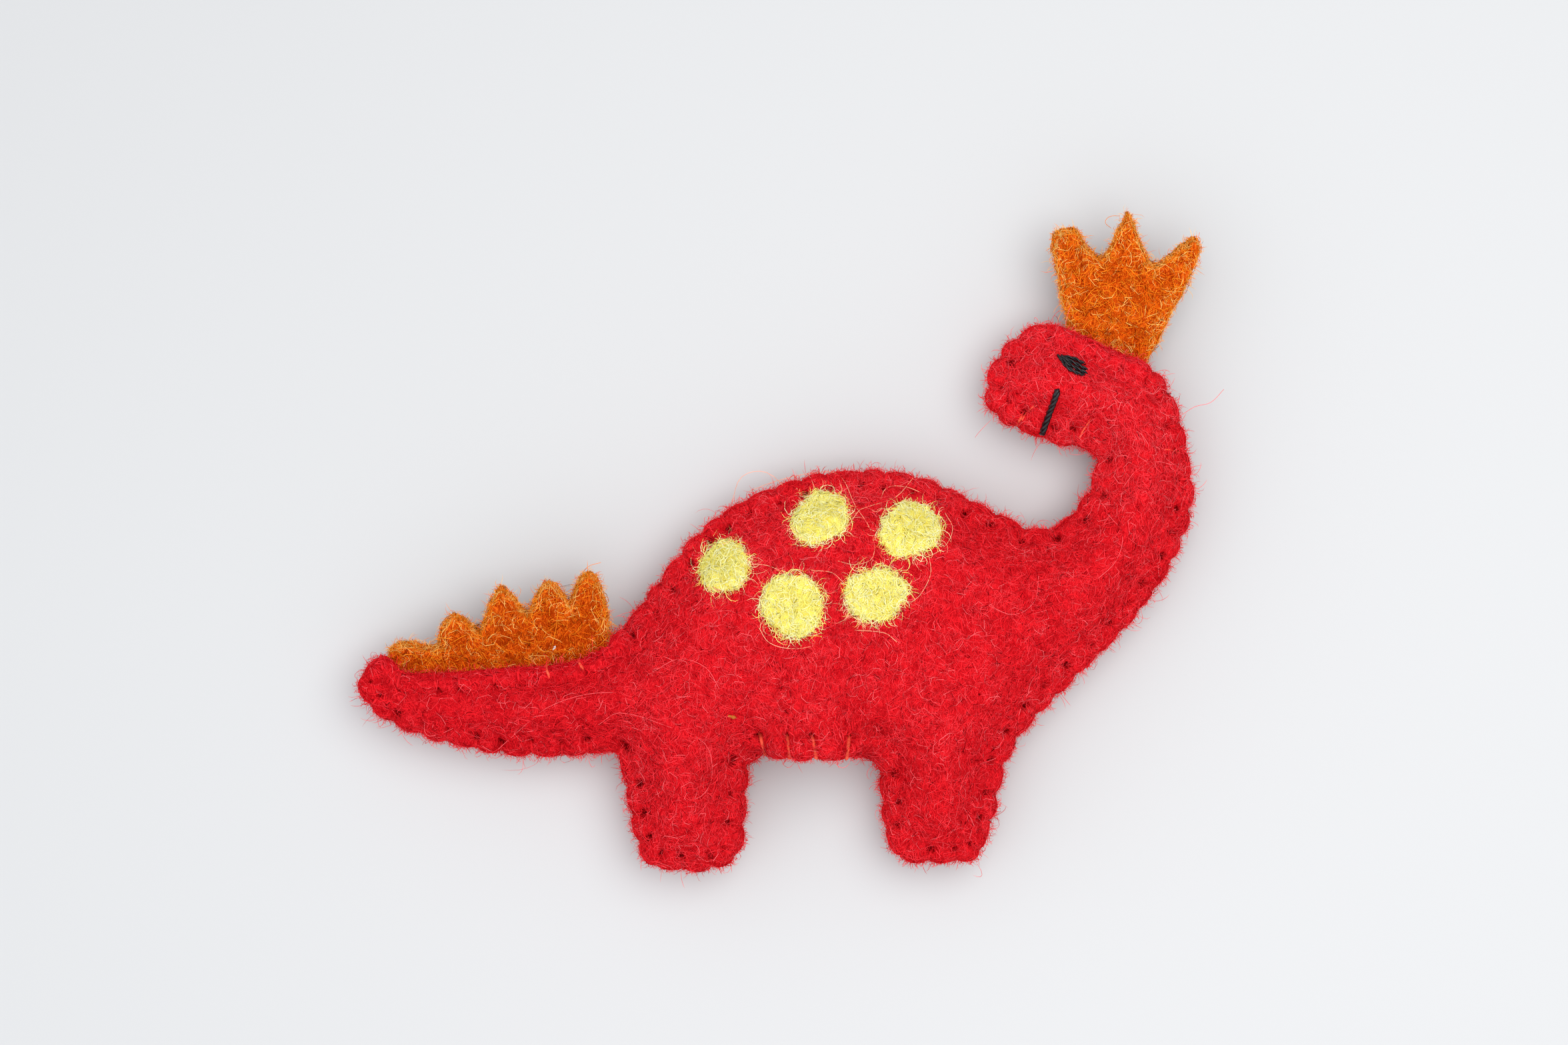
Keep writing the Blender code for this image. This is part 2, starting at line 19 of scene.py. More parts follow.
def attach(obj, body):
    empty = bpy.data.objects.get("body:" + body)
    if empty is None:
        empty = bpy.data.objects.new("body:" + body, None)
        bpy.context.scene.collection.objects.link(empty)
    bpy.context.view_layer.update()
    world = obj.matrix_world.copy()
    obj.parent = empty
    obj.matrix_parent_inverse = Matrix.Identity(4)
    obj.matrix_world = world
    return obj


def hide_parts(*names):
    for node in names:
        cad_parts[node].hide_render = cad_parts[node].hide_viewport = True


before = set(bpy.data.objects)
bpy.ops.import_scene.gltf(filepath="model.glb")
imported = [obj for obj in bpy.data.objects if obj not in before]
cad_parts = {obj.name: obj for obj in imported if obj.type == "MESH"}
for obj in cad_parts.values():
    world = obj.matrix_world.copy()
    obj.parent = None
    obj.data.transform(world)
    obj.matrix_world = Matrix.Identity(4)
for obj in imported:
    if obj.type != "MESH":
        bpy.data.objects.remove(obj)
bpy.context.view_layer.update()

MM = 0.001
FLOOR_GAP = 0.004
CORNER = np.array((-57.58, -45.12, 5.75))
SEED = 41

# Felt and thread
BODY_FELT = 2.3
TRIM_FELT = 2.6
SEAM_GAP = 0.15
SEAM_TOUCH = 0.01
RIM_ROUND = 1.0
TRIM_ROUND = 0.28
THREAD_RADIUS = 0.2
HEM_THREAD_RADII = (0.30, 0.28)
HEM_PROUD = 0.2

# Uneven felt: the width and the height of its lumps
FELT_LUMPS = ((1.5, 0.11), (0.55, 0.035), (0.3, 0.015))
TRIM_LUMPS = ((0.9, 0.11), (0.35, 0.08))
SPOT_LUMPS = ((0.6, 0.16), (0.3, 0.15))

# Seam
STITCH_PITCH = 4.05
STITCH_DEPTH = 2.0
STITCH_DRIFT = 0.45
STITCH_SLANT = 0.3
SCALLOP_RANGE = (0.35, 0.80)
SNOUT_SCALLOP = 0.75
PUFF_RANGE = (0.05, 0.22)
HEM_PUFF = 0.90
GROOVE_RANGE = (0.10, 0.45)
HEM_GROOVE = 1.3
PIT_RANGE = (1.0, 2.6)
HEM_PIT = 1.5
HEM_DEPTH = 3.2
HEM_Y = 15.5
HEM_STITCHES_X = (55.8, 59.0, 62.9, 67.4)
PIT_WIDTH = 0.54
GROOVE_WIDTH = 0.42
PIT_SHADE_DEPTH = 0.85

# Places on the edge where a stitch lies proud and shows its colour; the other seam stitches take a thread
# with painted shade
PROUD_PLACES = [(32.0, 29.6), (27.3, 28.2), (24.0, 28.0), (90.5, 60.4)]

# Doming of the panels, as in the CAD model
FRONT_DOME = 6.4
FRONT_REACH = 8.2
BACK_DOME = 3.2
BACK_REACH = 5.0
POCKET_X = 62.5
POCKET_HALF_WIDTH = 8.6
POCKET_END_Y = 40.0
POCKET_FADE = 10.0
POCKET_FRONT = 8.5
TUCK_SPREAD = (0.9, 4.4)
TUCK = 1.2
EDGE_FILL_HEIGHT = 0.5
MARK_RELIEF = 1.4

# The grid that the panels' heights are worked out on
GRID_STEP = 0.25
GRID_LOW = (-4.0, -4.0)
GRID_HIGH = (119.0, 95.0)

# Outline of a body panel, counter-clockwise from the front end of the belly opening
SEWN_EDGE = [
    (70.6, 15.2), (71.8, 11.8), (72.1, 8.0), (72.7, 4.5), (74.2, 1.8), (78.0, 1.1), (82.2, 1.2),
    (85.0, 2.0), (86.4, 5.2), (87.4, 9.0), (88.4, 13.6), (90.5, 18.2), (96.8, 25.0), (104.0, 32.0),
    (109.2, 38.4), (112.8, 45.0), (114.4, 51.2), (113.8, 57.0), (112.4, 62.8), (110.4, 67.0),
    (108.0, 69.4), (103.0, 71.6), (98.0, 73.9), (94.4, 74.9), (90.5, 73.1), (87.8, 70.2),
    (86.5, 67.0), (86.7, 63.8), (89.2, 61.4), (93.0, 59.8), (96.8, 58.4), (99.6, 58.2),
    (101.2, 57.0), (101.3, 54.5), (100.1, 51.4), (97.2, 48.0), (93.2, 46.5), (88.6, 48.4),
    (83.0, 51.2), (77.0, 53.8), (71.0, 54.7), (64.0, 54.3), (57.0, 52.4), (50.5, 49.2),
    (45.0, 44.3), (40.0, 37.8), (36.4, 33.4), (34.3, 31.0), (31.8, 29.5), (28.0, 28.3),
    (20.0, 27.7), (12.0, 27.1), (6.2, 27.2), (4.6, 28.8), (3.0, 29.3), (1.0, 27.5), (0.0, 25.7),
    (1.2, 22.8), (4.0, 20.6), (10.0, 18.1), (19.0, 16.2), (27.0, 15.7), (32.0, 16.0), (35.2, 16.0),
    (36.5, 12.6), (37.4, 8.0), (38.4, 3.6), (40.0, 0.8), (44.0, 0.0), (49.0, 0.3), (51.8, 2.0),
    (52.8, 6.0), (53.1, 11.0), (53.4, 14.2), (54.6, 15.5),
]
BELLY_EDGE = [(59.0, 15.6), (66.0, 15.5)]

# The stretch of edge round the snout, which is drawn into the deepest scallops
SNOUT = [(98.0, 73.9), (88.5, 61.9)]

# Trim: the ends of the seam that it is caught in, its edge beyond the seam, its flat size in
# metres, how far it leans forward, and which way is up along it
CROWN_SEAM = [(108.0, 69.4), (98.0, 73.9)]
CROWN_EDGE = [
    (97.6, 76.0), (97.0, 78.5), (96.3, 81.5), (95.8, 84.0), (95.4, 86.8), (95.6, 87.9), (98.4, 88.3),
    (98.9, 87.2), (99.6, 85.9), (100.6, 84.8), (101.9, 84.1), (102.9, 85.0), (103.8, 87.0),
    (104.8, 89.0), (105.4, 90.8), (106.0, 89.1), (106.7, 87.0), (107.3, 85.5), (108.1, 83.9),
    (109.2, 83.3), (110.5, 83.7), (112.0, 84.9), (113.3, 86.0), (114.6, 86.9), (115.1, 86.0),
    (114.5, 83.6), (113.4, 81.3), (112.0, 78.6), (111.0, 76.4), (109.9, 74.0), (108.9, 71.6),
]
CROWN_LEAN = 0.25
SPIKES_SEAM = [(33.8, 30.8), (6.2, 27.2)]
SPIKES_EDGE = [
    (4.4, 27.4), (4.2, 29.0), (4.5, 31.0), (5.8, 31.4), (7.4, 31.3), (9.2, 30.8), (10.7, 30.5),
    (11.1, 32.2), (11.7, 34.1), (13.0, 35.5), (14.4, 34.6), (15.8, 33.4), (16.8, 32.6),
    (17.3, 34.2), (18.2, 36.7), (19.6, 39.4), (20.9, 37.9), (22.0, 36.6), (23.2, 35.2),
    (24.0, 36.7), (24.8, 38.6), (26.0, 39.6), (27.4, 39.1), (28.2, 38.0), (28.9, 36.6),
    (29.6, 38.2), (30.4, 40.0), (31.2, 41.1), (32.5, 40.8), (33.2, 38.6), (33.7, 36.8),
    (34.0, 34.6), (34.3, 32.3),
]
SPIKES_LEAN = 0.35
LEAN_START = 1.0
TRIM_SLIP = 1.0
CROWN_UP = (0.10, 0.99)
SPIKES_UP = (-0.10, 0.99)

# Spots: centre, half-width, half-height and tilt
SPOTS = [
    (50.3, 41.7, 3.3, 3.4, 0.2),
    (63.3, 48.3, 4.0, 3.3, 0.5),
    (75.6, 46.7, 4.1, 3.6, 0.1),
    (59.6, 36.5, 4.1, 4.3, 0.0),
    (70.8, 37.9, 4.0, 3.7, 0.2),
]
SPOT_HEIGHT = 0.9
BACK_SPOT_HEIGHT = 0.6
SPOT_DIMPLE = 0.25

# Face
EYE_CENTRE = (97.75, 69.3)
EYE_LINE = ((96.1, 70.0), (99.3, 68.6))
EYE_SLOPE = math.radians(-28)
EYE_PLY = 0.30
MOUTH_PLY = 0.48
THREAD_HOLES = [(92.9, 63.9), (100.4, 62.1)]
LOOSE_THREADS = [
    [(92.9, 63.9), (92.3, 63.4), (91.6, 62.7), (91.0, 61.7)],
    [(100.4, 62.1), (99.9, 61.2), (99.4, 60.4), (98.9, 59.3)],
    [(110.4, 57.7), (111.4, 57.6), (112.6, 57.3)],
]
# The eye's stitches: how far aside of its middle line each lies, and its two ends along it
EYE_STRANDS = [
    (0.84, -1.9, 1.5),
    (0.28, -2.4, 2.1),
    (-0.28, -2.2, 2.35),
    (-0.84, -1.5, 2.15),
]
MOUTH = [(95.65, 65.8), (95.2, 64.3), (94.65, 62.6), (94.15, 61.0), (93.8, 59.9)]

# Single long hairs that lie on the felt or stand off its edge
PEACH_HAIRS = [
    [(51.2, 50.4), (52.6, 54.0), (56.0, 54.6), (59.7, 51.6), (62.9, 51.2)],
    [(53.6, 52.0), (57.3, 53.4), (62.9, 54.6), (66.0, 54.2), (68.1, 50.0), (70.1, 46.8), (70.5, 43.1),
     (68.1, 42.0), (65.7, 42.5)],
    [(76.1, 53.8), (73.7, 51.2), (69.7, 49.8), (68.5, 49.2), (65.7, 44.9)],
    [(53.8, 42.0), (56.0, 41.9), (58.1, 41.1)],
    [(78.1, 43.1), (78.3, 40.7), (76.9, 37.9), (75.7, 36.9)],
    [(66.5, 39.5), (64.9, 40.9), (62.1, 41.2)],
    [(68.1, 33.1), (72.1, 32.7), (73.7, 31.5)],
    [(71.4, 50.2), (72.4, 52.4), (75.0, 52.6), (77.6, 51.6)],
    [(80.4, 49.0), (81.4, 46.8), (80.0, 44.2), (77.2, 42.8)],
    [(55.0, 33.4), (56.4, 31.4), (59.4, 30.6), (62.6, 31.0)],
]
PALE_HAIRS = [
    [(33.1, 20.1), (36.0, 21.8), (42.3, 20.1), (47.6, 17.7), (48.6, 13.3), (47.1, 10.4), (43.7, 9.9)],
    [(19.2, 16.6), (22.7, 19.7), (26.2, 22.5), (31.5, 24.3), (36.7, 24.6)],
    [(9.2, 20.8), (9.4, 18.6), (11.4, 18.8), (13.5, 19.7)],
    [(104.6, 52.4), (106.4, 54.8), (108.9, 56.0), (111.4, 55.6)],
    [(101.0, 40.0), (103.6, 42.6), (104.4, 46.2), (102.6, 48.8)],
    [(112.6, 62.2), (114.8, 63.6), (117.0, 64.2), (118.8, 66.0)],
    [(84.2, 6.8), (82.4, 10.2), (83.6, 13.8), (87.4, 15.4)],
    [(86.2, 36.4), (89.6, 35.2), (92.4, 37.0), (93.0, 40.4)],
    [(40.6, 27.4), (44.2, 29.2), (47.8, 28.0), (49.6, 25.2)],
]
AMBER_HAIRS = [
    [(99.4, 78.0), (101.0, 79.8), (103.4, 80.0), (105.6, 78.4), (107.0, 76.4)],
    [(103.4, 88.2), (102.6, 89.0), (103.2, 89.8), (104.6, 89.9)],
    [(12.8, 31.2), (15.4, 32.4), (18.2, 31.6), (20.4, 29.8)],
    [(27.6, 36.4), (27.2, 33.2), (26.6, 30.6)],
    [(29.8, 39.6), (31.4, 41.6), (33.2, 42.2)],
]

# Bits caught in the felt: centre, length, slope and radius
STRAW_FLECK = ((51.3, 21.3), 1.3, -0.25, 0.24)
WHITE_SPECK = ((26.9, 30.5), 0.75, 1.0, 0.15)

# How many fibres
BACK_FIBRES = 3600
EDGE_FIBRES = 12500
STRAY_HAIRS = 260
CROWN_FIBRES = 4700
SPIKES_FIBRES = 4300
CUT_EDGE_FIBRES = 3800
SPOT_FIBRES = 620
BACK_SPOT_FIBRES = 160
SPOT_RIM_CURLS = 130
FIBRE_CLEARANCE = 0.06

rng = np.random.default_rng(SEED)


def smooth_line(points, closed):
    """A dense polyline on a smooth curve through the points."""
    points = [Vector(p) for p in points]
    count = len(points)
    last = count if closed else count - 1
    line = []
    for i in range(last):
        a, b = points[i], points[(i + 1) % count]
        before = points[i - 1] if closed or i else a
        after = points[(i + 2) % count] if closed or i + 2 < count else b
        reach = (b - a).length / 3
        out_of_a = a + (b - before).normalized() * reach
        into_b = b - (after - a).normalized() * reach
        line += interpolate_bezier(a, out_of_a, into_b, b, 9)[:-1]
    line.append(points[0] if closed else points[-1])
    return np.array([tuple(p) for p in line])


def cut_line(points, rounds=2):
    """A closed line through straight cuts, with its corners eased a little."""
    points = np.asarray(points, dtype=float)
    for _ in range(rounds):
        after = np.roll(points, -1, axis=0)
        points = np.stack([0.8 * points + 0.2 * after, 0.2 * points + 0.8 * after], axis=1).reshape(-1, 2)
    return np.vstack([points, points[:1]])


def lengths_along(line):
    """The distance of each point of a polyline from its start."""
    return np.concatenate([[0.0], np.cumsum(np.linalg.norm(np.diff(line, axis=0), axis=1))])


def resampled(line, step):
    """Evenly spaced points along a polyline, without its last point, and their lengths."""
    at = lengths_along(line)
    places = np.linspace(0.0, at[-1], max(round(at[-1] / step), 2), endpoint=False)
    return np.column_stack([np.interp(places, at, line[:, k]) for k in range(line.shape[1])]), places


def smoothstep(x, low, high):
    t = np.clip((x - low) / (high - low), 0.0, 1.0)
    return t * t * (3.0 - 2.0 * t)


def bell(x, width):
    return np.exp(-((x / width) ** 2))


def nearest(points, places):
    """For each place, the index of the nearest point and the distance to it."""
    tree = KDTree(len(points))
    for i, p in enumerate(points):
        tree.insert((*p[:2], 0.0), i)
    tree.balance()
    found = [tree.find((*p, 0.0)) for p in places]
    return np.array([f[1] for f in found]), np.array([f[2] for f in found])


# The grid and the fields on it
GRID_X = np.arange(GRID_LOW[0], GRID_HIGH[0] + GRID_STEP / 2, GRID_STEP)
GRID_Y = np.arange(GRID_LOW[1], GRID_HIGH[1] + GRID_STEP / 2, GRID_STEP)
GX, GY = np.meshgrid(GRID_X, GRID_Y, indexing="ij")
CELLS = np.column_stack([GX.ravel(), GY.ravel()])


def away_from(points):
    """On the grid: the distance to the nearest of some points."""
    return nearest(points, CELLS)[1].reshape(GX.shape)


def blurred(field, width):
    """A field on the grid, blurred by a bell of that width."""
    fx = np.fft.fftfreq(field.shape[0], GRID_STEP)[:, None]
    fy = np.fft.rfftfreq(field.shape[1], GRID_STEP)[None]
    keep = np.exp(-2 * (math.pi * width) ** 2 * (fx**2 + fy**2))
    return np.fft.irfft2(np.fft.rfft2(field) * keep, s=field.shape)


def lumps(width):
    """Random hills of that width on the grid, with a spread of one."""
    field = blurred(rng.standard_normal(GX.shape), width)
    return (field - field.mean()) / field.std()


def sampled(field, xy):
    """A grid field's values at places."""
    fx = np.clip((xy[:, 0] - GRID_LOW[0]) / GRID_STEP, 0, field.shape[0] - 1.001)
    fy = np.clip((xy[:, 1] - GRID_LOW[1]) / GRID_STEP, 0, field.shape[1] - 1.001)
    i, j = fx.astype(int), fy.astype(int)
    u, v = fx - i, fy - j
    low = field[i, j] * (1 - v) + field[i, j + 1] * v
    high = field[i + 1, j] * (1 - v) + field[i + 1, j + 1] * v
    return low * (1 - u) + high * u


# Edge, stitches and scallops
EDGE = smooth_line(SEWN_EDGE + BELLY_EDGE, closed=True)
EDGE_AT = lengths_along(EDGE)
EDGE_LENGTH = EDGE_AT[-1]
SEAM_LENGTH = EDGE_AT[8 * (len(SEWN_EDGE) - 1)]


def edge_place(xy):
    """The length along the edge of the point nearest to a place."""
    return EDGE_AT[np.linalg.norm(EDGE[:-1] - xy, axis=1).argmin()]


def stitch_places():
    """Where the stitches are along the edge, unevenly spaced as sewn by hand."""
    count = round(SEAM_LENGTH / STITCH_PITCH)
    even = (np.arange(count) + 0.5) * SEAM_LENGTH / count
    seam = even + rng.uniform(-STITCH_DRIFT, STITCH_DRIFT, count)
    hem = [edge_place((x, HEM_Y)) for x in HEM_STITCHES_X]
    return np.array(sorted([*seam, *hem]))


STITCHES = stitch_places()
IN_HEM = STITCHES > SEAM_LENGTH
STITCH_DEPTHS = np.where(IN_HEM, HEM_DEPTH, STITCH_DEPTH + rng.uniform(-0.4, 0.35, len(STITCHES)))
STITCH_SLANTS = rng.uniform(-STITCH_SLANT, STITCH_SLANT, len(STITCHES))


def near_span(ends, margin=1.0):
    """Which stitches lie between two places on the edge."""
    return (STITCHES > edge_place(ends[0]) - margin) & (STITCHES < edge_place(ends[1]) + margin)


# How strongly each stitch draws the felt in
UNDER_TRIM = near_span(CROWN_SEAM) | near_span(SPIKES_SEAM)
SHOWN = np.where(UNDER_TRIM, 0.15, 1.0)
SCALLOPS = np.where(near_span(SNOUT), SNOUT_SCALLOP, rng.uniform(*SCALLOP_RANGE, len(STITCHES))) * SHOWN
PUFFS = np.where(IN_HEM, HEM_PUFF, rng.uniform(*PUFF_RANGE, len(STITCHES))) * SHOWN
GROOVES = np.where(IN_HEM, HEM_GROOVE, rng.uniform(*GROOVE_RANGE, len(STITCHES))) * SHOWN
PITS = np.where(IN_HEM, HEM_PIT, rng.uniform(*PIT_RANGE, len(STITCHES))) * np.where(UNDER_TRIM, 0.4, 1.0)


def between_stitches(s):
    """The stitch before each length, and the share of the way from it to the next one."""
    i = np.searchsorted(STITCHES, s) - 1
    start = np.where(i < 0, STITCHES[-1] - EDGE_LENGTH, STITCHES[np.maximum(i, 0)])
    end = np.where(i >= len(STITCHES) - 1, STITCHES[0] + EDGE_LENGTH, STITCHES[(i + 1) % len(STITCHES)])
    return i % len(STITCHES), (s - start) / (end - start)


def bulge(s):
    """How far the scalloped edge stands out beyond the smooth one at each length."""
    i, u = between_stitches(s)
    arch = 1.0 - np.abs(2.0 * u - 1.0) ** 2.6
    return SCALLOPS[i] * (arch - 0.5)


def edge_frame(s):
    """Points on the smooth edge at lengths s, the way along it and the way out."""
    def at(v):
        return np.column_stack([np.interp(v % EDGE_LENGTH, EDGE_AT, EDGE[:, k]) for k in (0, 1)])
    along = at(s + 0.25) - at(s - 0.25)
    along /= np.linalg.norm(along, axis=1)[:, None]
    return at(s), along, np.column_stack([along[:, 1], -along[:, 0]])


def at_edge(s, depth=0.0, aside=0.0):
    """Points at lengths s, that deep inside the smooth edge and that far aside."""
    here, along, out = edge_frame(np.atleast_1d(s))
    return here + along * np.reshape(aside, (-1, 1)) - out * np.reshape(depth, (-1, 1))


def edge_fields():
    """On the grid: depth inside the smooth edge, length along it, and depth inside its sewn part."""
    fine, places = resampled(EDGE, 0.1)
    _, _, out = edge_frame(places)
    index, _ = nearest(fine, CELLS)
    away = CELLS - fine[index]
    depth = np.linalg.norm(away, axis=1) * -np.sign((away * out[index]).sum(1))
    to_sewn = depth.copy()
    at_hem = places[index] >= SEAM_LENGTH
    to_sewn[at_hem] = nearest(fine[places < SEAM_LENGTH], CELLS[at_hem])[1]
    return [f.reshape(GX.shape) for f in (depth, places[index], to_sewn)]


DEPTH, ALONG, SEWN_DEPTH = edge_fields()
LOBED_DEPTH = DEPTH + bulge(ALONG.ravel()).reshape(GX.shape)


def stitch_marks():
    """On the grid: how strongly each stitch's groove, pit and the puffs between them press."""
    i, u = between_stitches(ALONG.ravel())
    nearer = np.where(u > 0.5, (i + 1) % len(STITCHES), i)
    depth = DEPTH.ravel()
    aside = ALONG.ravel() - STITCHES[nearer]
    aside = (aside + EDGE_LENGTH / 2) % EDGE_LENGTH - EDGE_LENGTH / 2
    aside = aside - STITCH_SLANTS[nearer] * (depth - STITCH_DEPTHS[nearer] / 2)
    end = STITCH_DEPTHS[nearer]
    groove = GROOVES[nearer] * bell(aside, GROOVE_WIDTH) * (1.0 - smoothstep(depth, end - 0.2, end + 0.5))
    pit = PITS[nearer] * np.exp(-(aside**2 + (depth - end) ** 2) / PIT_WIDTH**2)
    arch = 1.0 - np.abs(2.0 * u - 1.0) ** 2.2
    puff = PUFFS[i] * arch * smoothstep(depth, 0.0, 0.9) * (1.0 - smoothstep(depth, 1.4, 3.2))
    crease = bell(depth - end, 0.7) * 0.05 * SHOWN[nearer]
    return [f.reshape(GX.shape) for f in (groove, pit, puff, crease)]


GROOVE, PIT, PUFF, CREASE = stitch_marks()


def caught_span(ends):
    """The lengths along the edge between which a trim is caught."""
    return [edge_place(p) for p in ends]


CROWN_SPAN = caught_span(CROWN_SEAM)
SPIKES_SPAN = caught_span(SPIKES_SEAM)


def seam_spread():
    """On the grid: how far the caught trim holds the panels off the seam's middle."""
    near = np.full(GX.shape, np.inf)
    for span in (CROWN_SPAN, SPIKES_SPAN):
        near = np.minimum(near, away_from(at_edge(np.linspace(*span, 60))))
    return (TRIM_FELT / 2 + SEAM_GAP) * (1.0 - smoothstep(near, *TUCK_SPREAD))


SPREAD = seam_spread()


def spot_radius(x, y, spot):
    """The distance of places from a spot's centre, one at its rim."""
    centre_x, centre_y, wide, high, tilt = spot
    dx, dy = x - centre_x, y - centre_y
    c, s = math.cos(tilt), math.sin(tilt)
    return np.hypot((dx * c + dy * s) / wide, (dy * c - dx * s) / high)


def spot_places(spot, r, turn):
    """The x and the y of places round a spot, by their share of the way to its rim and turn."""
    x, y, wide, high, tilt = spot
    c, s = math.cos(tilt), math.sin(tilt)
    px, py = wide * r * np.cos(turn), high * r * np.sin(turn)
    return x + px * c - py * s, y + px * s + py * c


def spot_field(rise):
    """On the grid: one under each spot, falling to nothing from its rim over that share."""
    low, high = sorted((1.0, 1.0 + rise))
    return np.max([1.0 - smoothstep(spot_radius(GX, GY, spot), low, high) for spot in SPOTS], axis=0)


def dome(depth, reach):
    t = np.clip((depth - STITCH_DEPTH) / reach, 0.0, 1.0)
    return t * (2.0 - t)


def marks_relief():
    """On the grid: one behind the spots, the eye and the mouth, falling to nothing round them."""
    field = np.zeros(GX.shape)
    for spot in SPOTS:
        away = (spot_radius(GX, GY, spot) - 1.0) * spot[2]
        field = np.maximum(field, 1.0 - smoothstep(away, 1.0, 4.0))
    face = np.vstack([MOUTH, [EYE_CENTRE, (EYE_CENTRE[0] - 1.5, EYE_CENTRE[1] + 0.6)]])
    return np.maximum(field, 1.0 - smoothstep(away_from(face), 1.8, 4.5))


POCKET = (1.0 - np.clip(np.abs(GX - POCKET_X) / POCKET_HALF_WIDTH, 0, 1) ** 2) ** 0.75
POCKET = POCKET * (1.0 - smoothstep(GY, POCKET_END_Y, POCKET_END_Y + POCKET_FADE))
SOFTEN = smoothstep(SEWN_DEPTH, 1.2, 3.4)
FRONT_PUFF = blurred(np.maximum(FRONT_DOME * dome(SEWN_DEPTH, FRONT_REACH), POCKET_FRONT * POCKET), 1.3)
BACK_PUFF = BACK_DOME * blurred(np.maximum(dome(SEWN_DEPTH, BACK_REACH), POCKET), 0.9)
SEAM_HALF = SEAM_TOUCH + (SEAM_GAP - SEAM_TOUCH) * smoothstep(SEWN_DEPTH, 1.2, 3.4)
FRONT_INNER = SEAM_HALF + np.maximum(FRONT_PUFF * SOFTEN, SPREAD)
BACK_LIMIT = BACK_DOME - MARK_RELIEF * marks_relief()
BACK_INNER = SEAM_HALF + np.maximum(np.minimum(BACK_PUFF * SOFTEN, BACK_LIMIT), SPREAD)

# Felt that fills the hollow between the dome and the sewn edge
EDGE_FILL = EDGE_FILL_HEIGHT * bell(SEWN_DEPTH - 1.8, 1.1)
EDGE_FILL += FRONT_PUFF * (smoothstep(SEWN_DEPTH, 0.2, 2.8) - SOFTEN)


def felt_surface(inner, floor=None):
    """On the grid: the outer height of a panel over its inner height."""
    rim = np.sqrt(1.0 - (1.0 - np.clip(LOBED_DEPTH / RIM_ROUND, 0.03, 1.0)) ** 2)
    height = inner + BODY_FELT * rim + PUFF - GROOVE - PIT - CREASE
    away = smoothstep(LOBED_DEPTH, 0.0, 1.5)
    height = height + away * sum(high * lumps(width) for width, high in FELT_LUMPS)
    if floor is not None:
        excess = height - floor
        height = np.where(excess > -0.3, floor - 0.3 * np.exp(-np.maximum(excess + 0.3, 0) / 0.3), height)
    return np.maximum(height, np.minimum(inner + 0.3, inner + BODY_FELT * rim))


HEM_LINES = [at_edge(s, d)[0] for s in STITCHES[IN_HEM] for d in np.linspace(0.3, HEM_DEPTH, 8)]
FACE_LINES = np.vstack([smooth_line(MOUTH, closed=False), np.linspace(*EYE_LINE, 12)])


def kept_bare():
    """On the grid: over a half where fuzz would hide the spots, the face, the hem or the pits."""
    pits = at_edge(STITCHES, STITCH_DEPTHS)[PITS > 1.1]
    marks = ((FACE_LINES, 0.95), (HEM_LINES, 0.5), (pits, 0.7))
    return np.max([spot_field(-0.12), *(bell(away_from(line), width) for line, width in marks)], axis=0)


BARE = kept_bare()
FRONT_OUTER = felt_surface(FRONT_INNER) + EDGE_FILL * smoothstep(LOBED_DEPTH, 0.2, 1.4)
FRONT_OUTER -= SPOT_DIMPLE * spot_field(0.25) + 1.1 * bell(away_from(THREAD_HOLES), 0.55)
BACK_OUTER = felt_surface(BACK_INNER, CORNER[2] - 0.02)


def height_of(field, side=1):
    """A function that gives a grid height at places, on the front or the back."""
    return lambda places: side * sampled(field, places)


OUTSIDE_FRONT, INSIDE_FRONT = height_of(FRONT_OUTER), height_of(FRONT_INNER)
OUTSIDE_BACK, INSIDE_BACK = height_of(BACK_OUTER, -1), height_of(BACK_INNER, -1)


# Meshes
def in_scene(name, data):
    """An object in the scene."""
    made = bpy.data.objects.new(name, data)
    bpy.context.scene.collection.objects.link(made)
    return made


def new_object(name, verts, faces, materials, slots=None):
    """A smooth object from triangles on vertices in millimetres in the drawing's frame."""
    verts = (np.asarray(verts) + CORNER) * MM
    verts[:, 2] = np.maximum(verts[:, 2], FLOOR_GAP * MM)
    faces = np.asarray(faces, dtype=np.int32)
    mesh = bpy.data.meshes.new(name)
    mesh.vertices.add(len(verts))
    mesh.vertices.foreach_set("co", verts.ravel())
    mesh.loops.add(faces.size)
    mesh.loops.foreach_set("vertex_index", faces.ravel())
    mesh.polygons.add(len(faces))
    mesh.polygons.foreach_set("loop_start", np.arange(0, faces.size, 3, dtype=np.int32))
    if slots is not None:
        mesh.polygons.foreach_set("material_index", np.asarray(slots, dtype=np.int32))
    mesh.update(calc_edges=True)
    mesh.validate()
    for finish in materials:
        mesh.materials.append(finish)
    mesh.shade_smooth()
    return in_scene(name, mesh)


def hex_grid(low, high, spacing):
    """Staggered rows of points."""
    rows = np.arange(low[1], high[1], spacing * math.sqrt(3) / 2)
    return np.array([
        (x + (spacing / 2 if i % 2 else 0.0), y)
        for i, y in enumerate(rows)
        for x in np.arange(low[0], high[0], spacing)
    ])


def triangulated(loop, inner):
    """Triangles that fill a loop through its inner points."""
    points = [Vector(p) for p in (*loop, *inner)]
    edges = [(i, (i + 1) % len(loop)) for i in range(len(loop))]
    verts, _, faces, *_ = delaunay_2d_cdt(points, edges, [], 1, 1e-5)
    return np.array([tuple(v) for v in verts]), np.array(faces)


def corners(shape):
    """The three corners of each triangle of a shape."""
    verts, faces = shape
    return [verts[faces[:, k]] for k in range(3)]


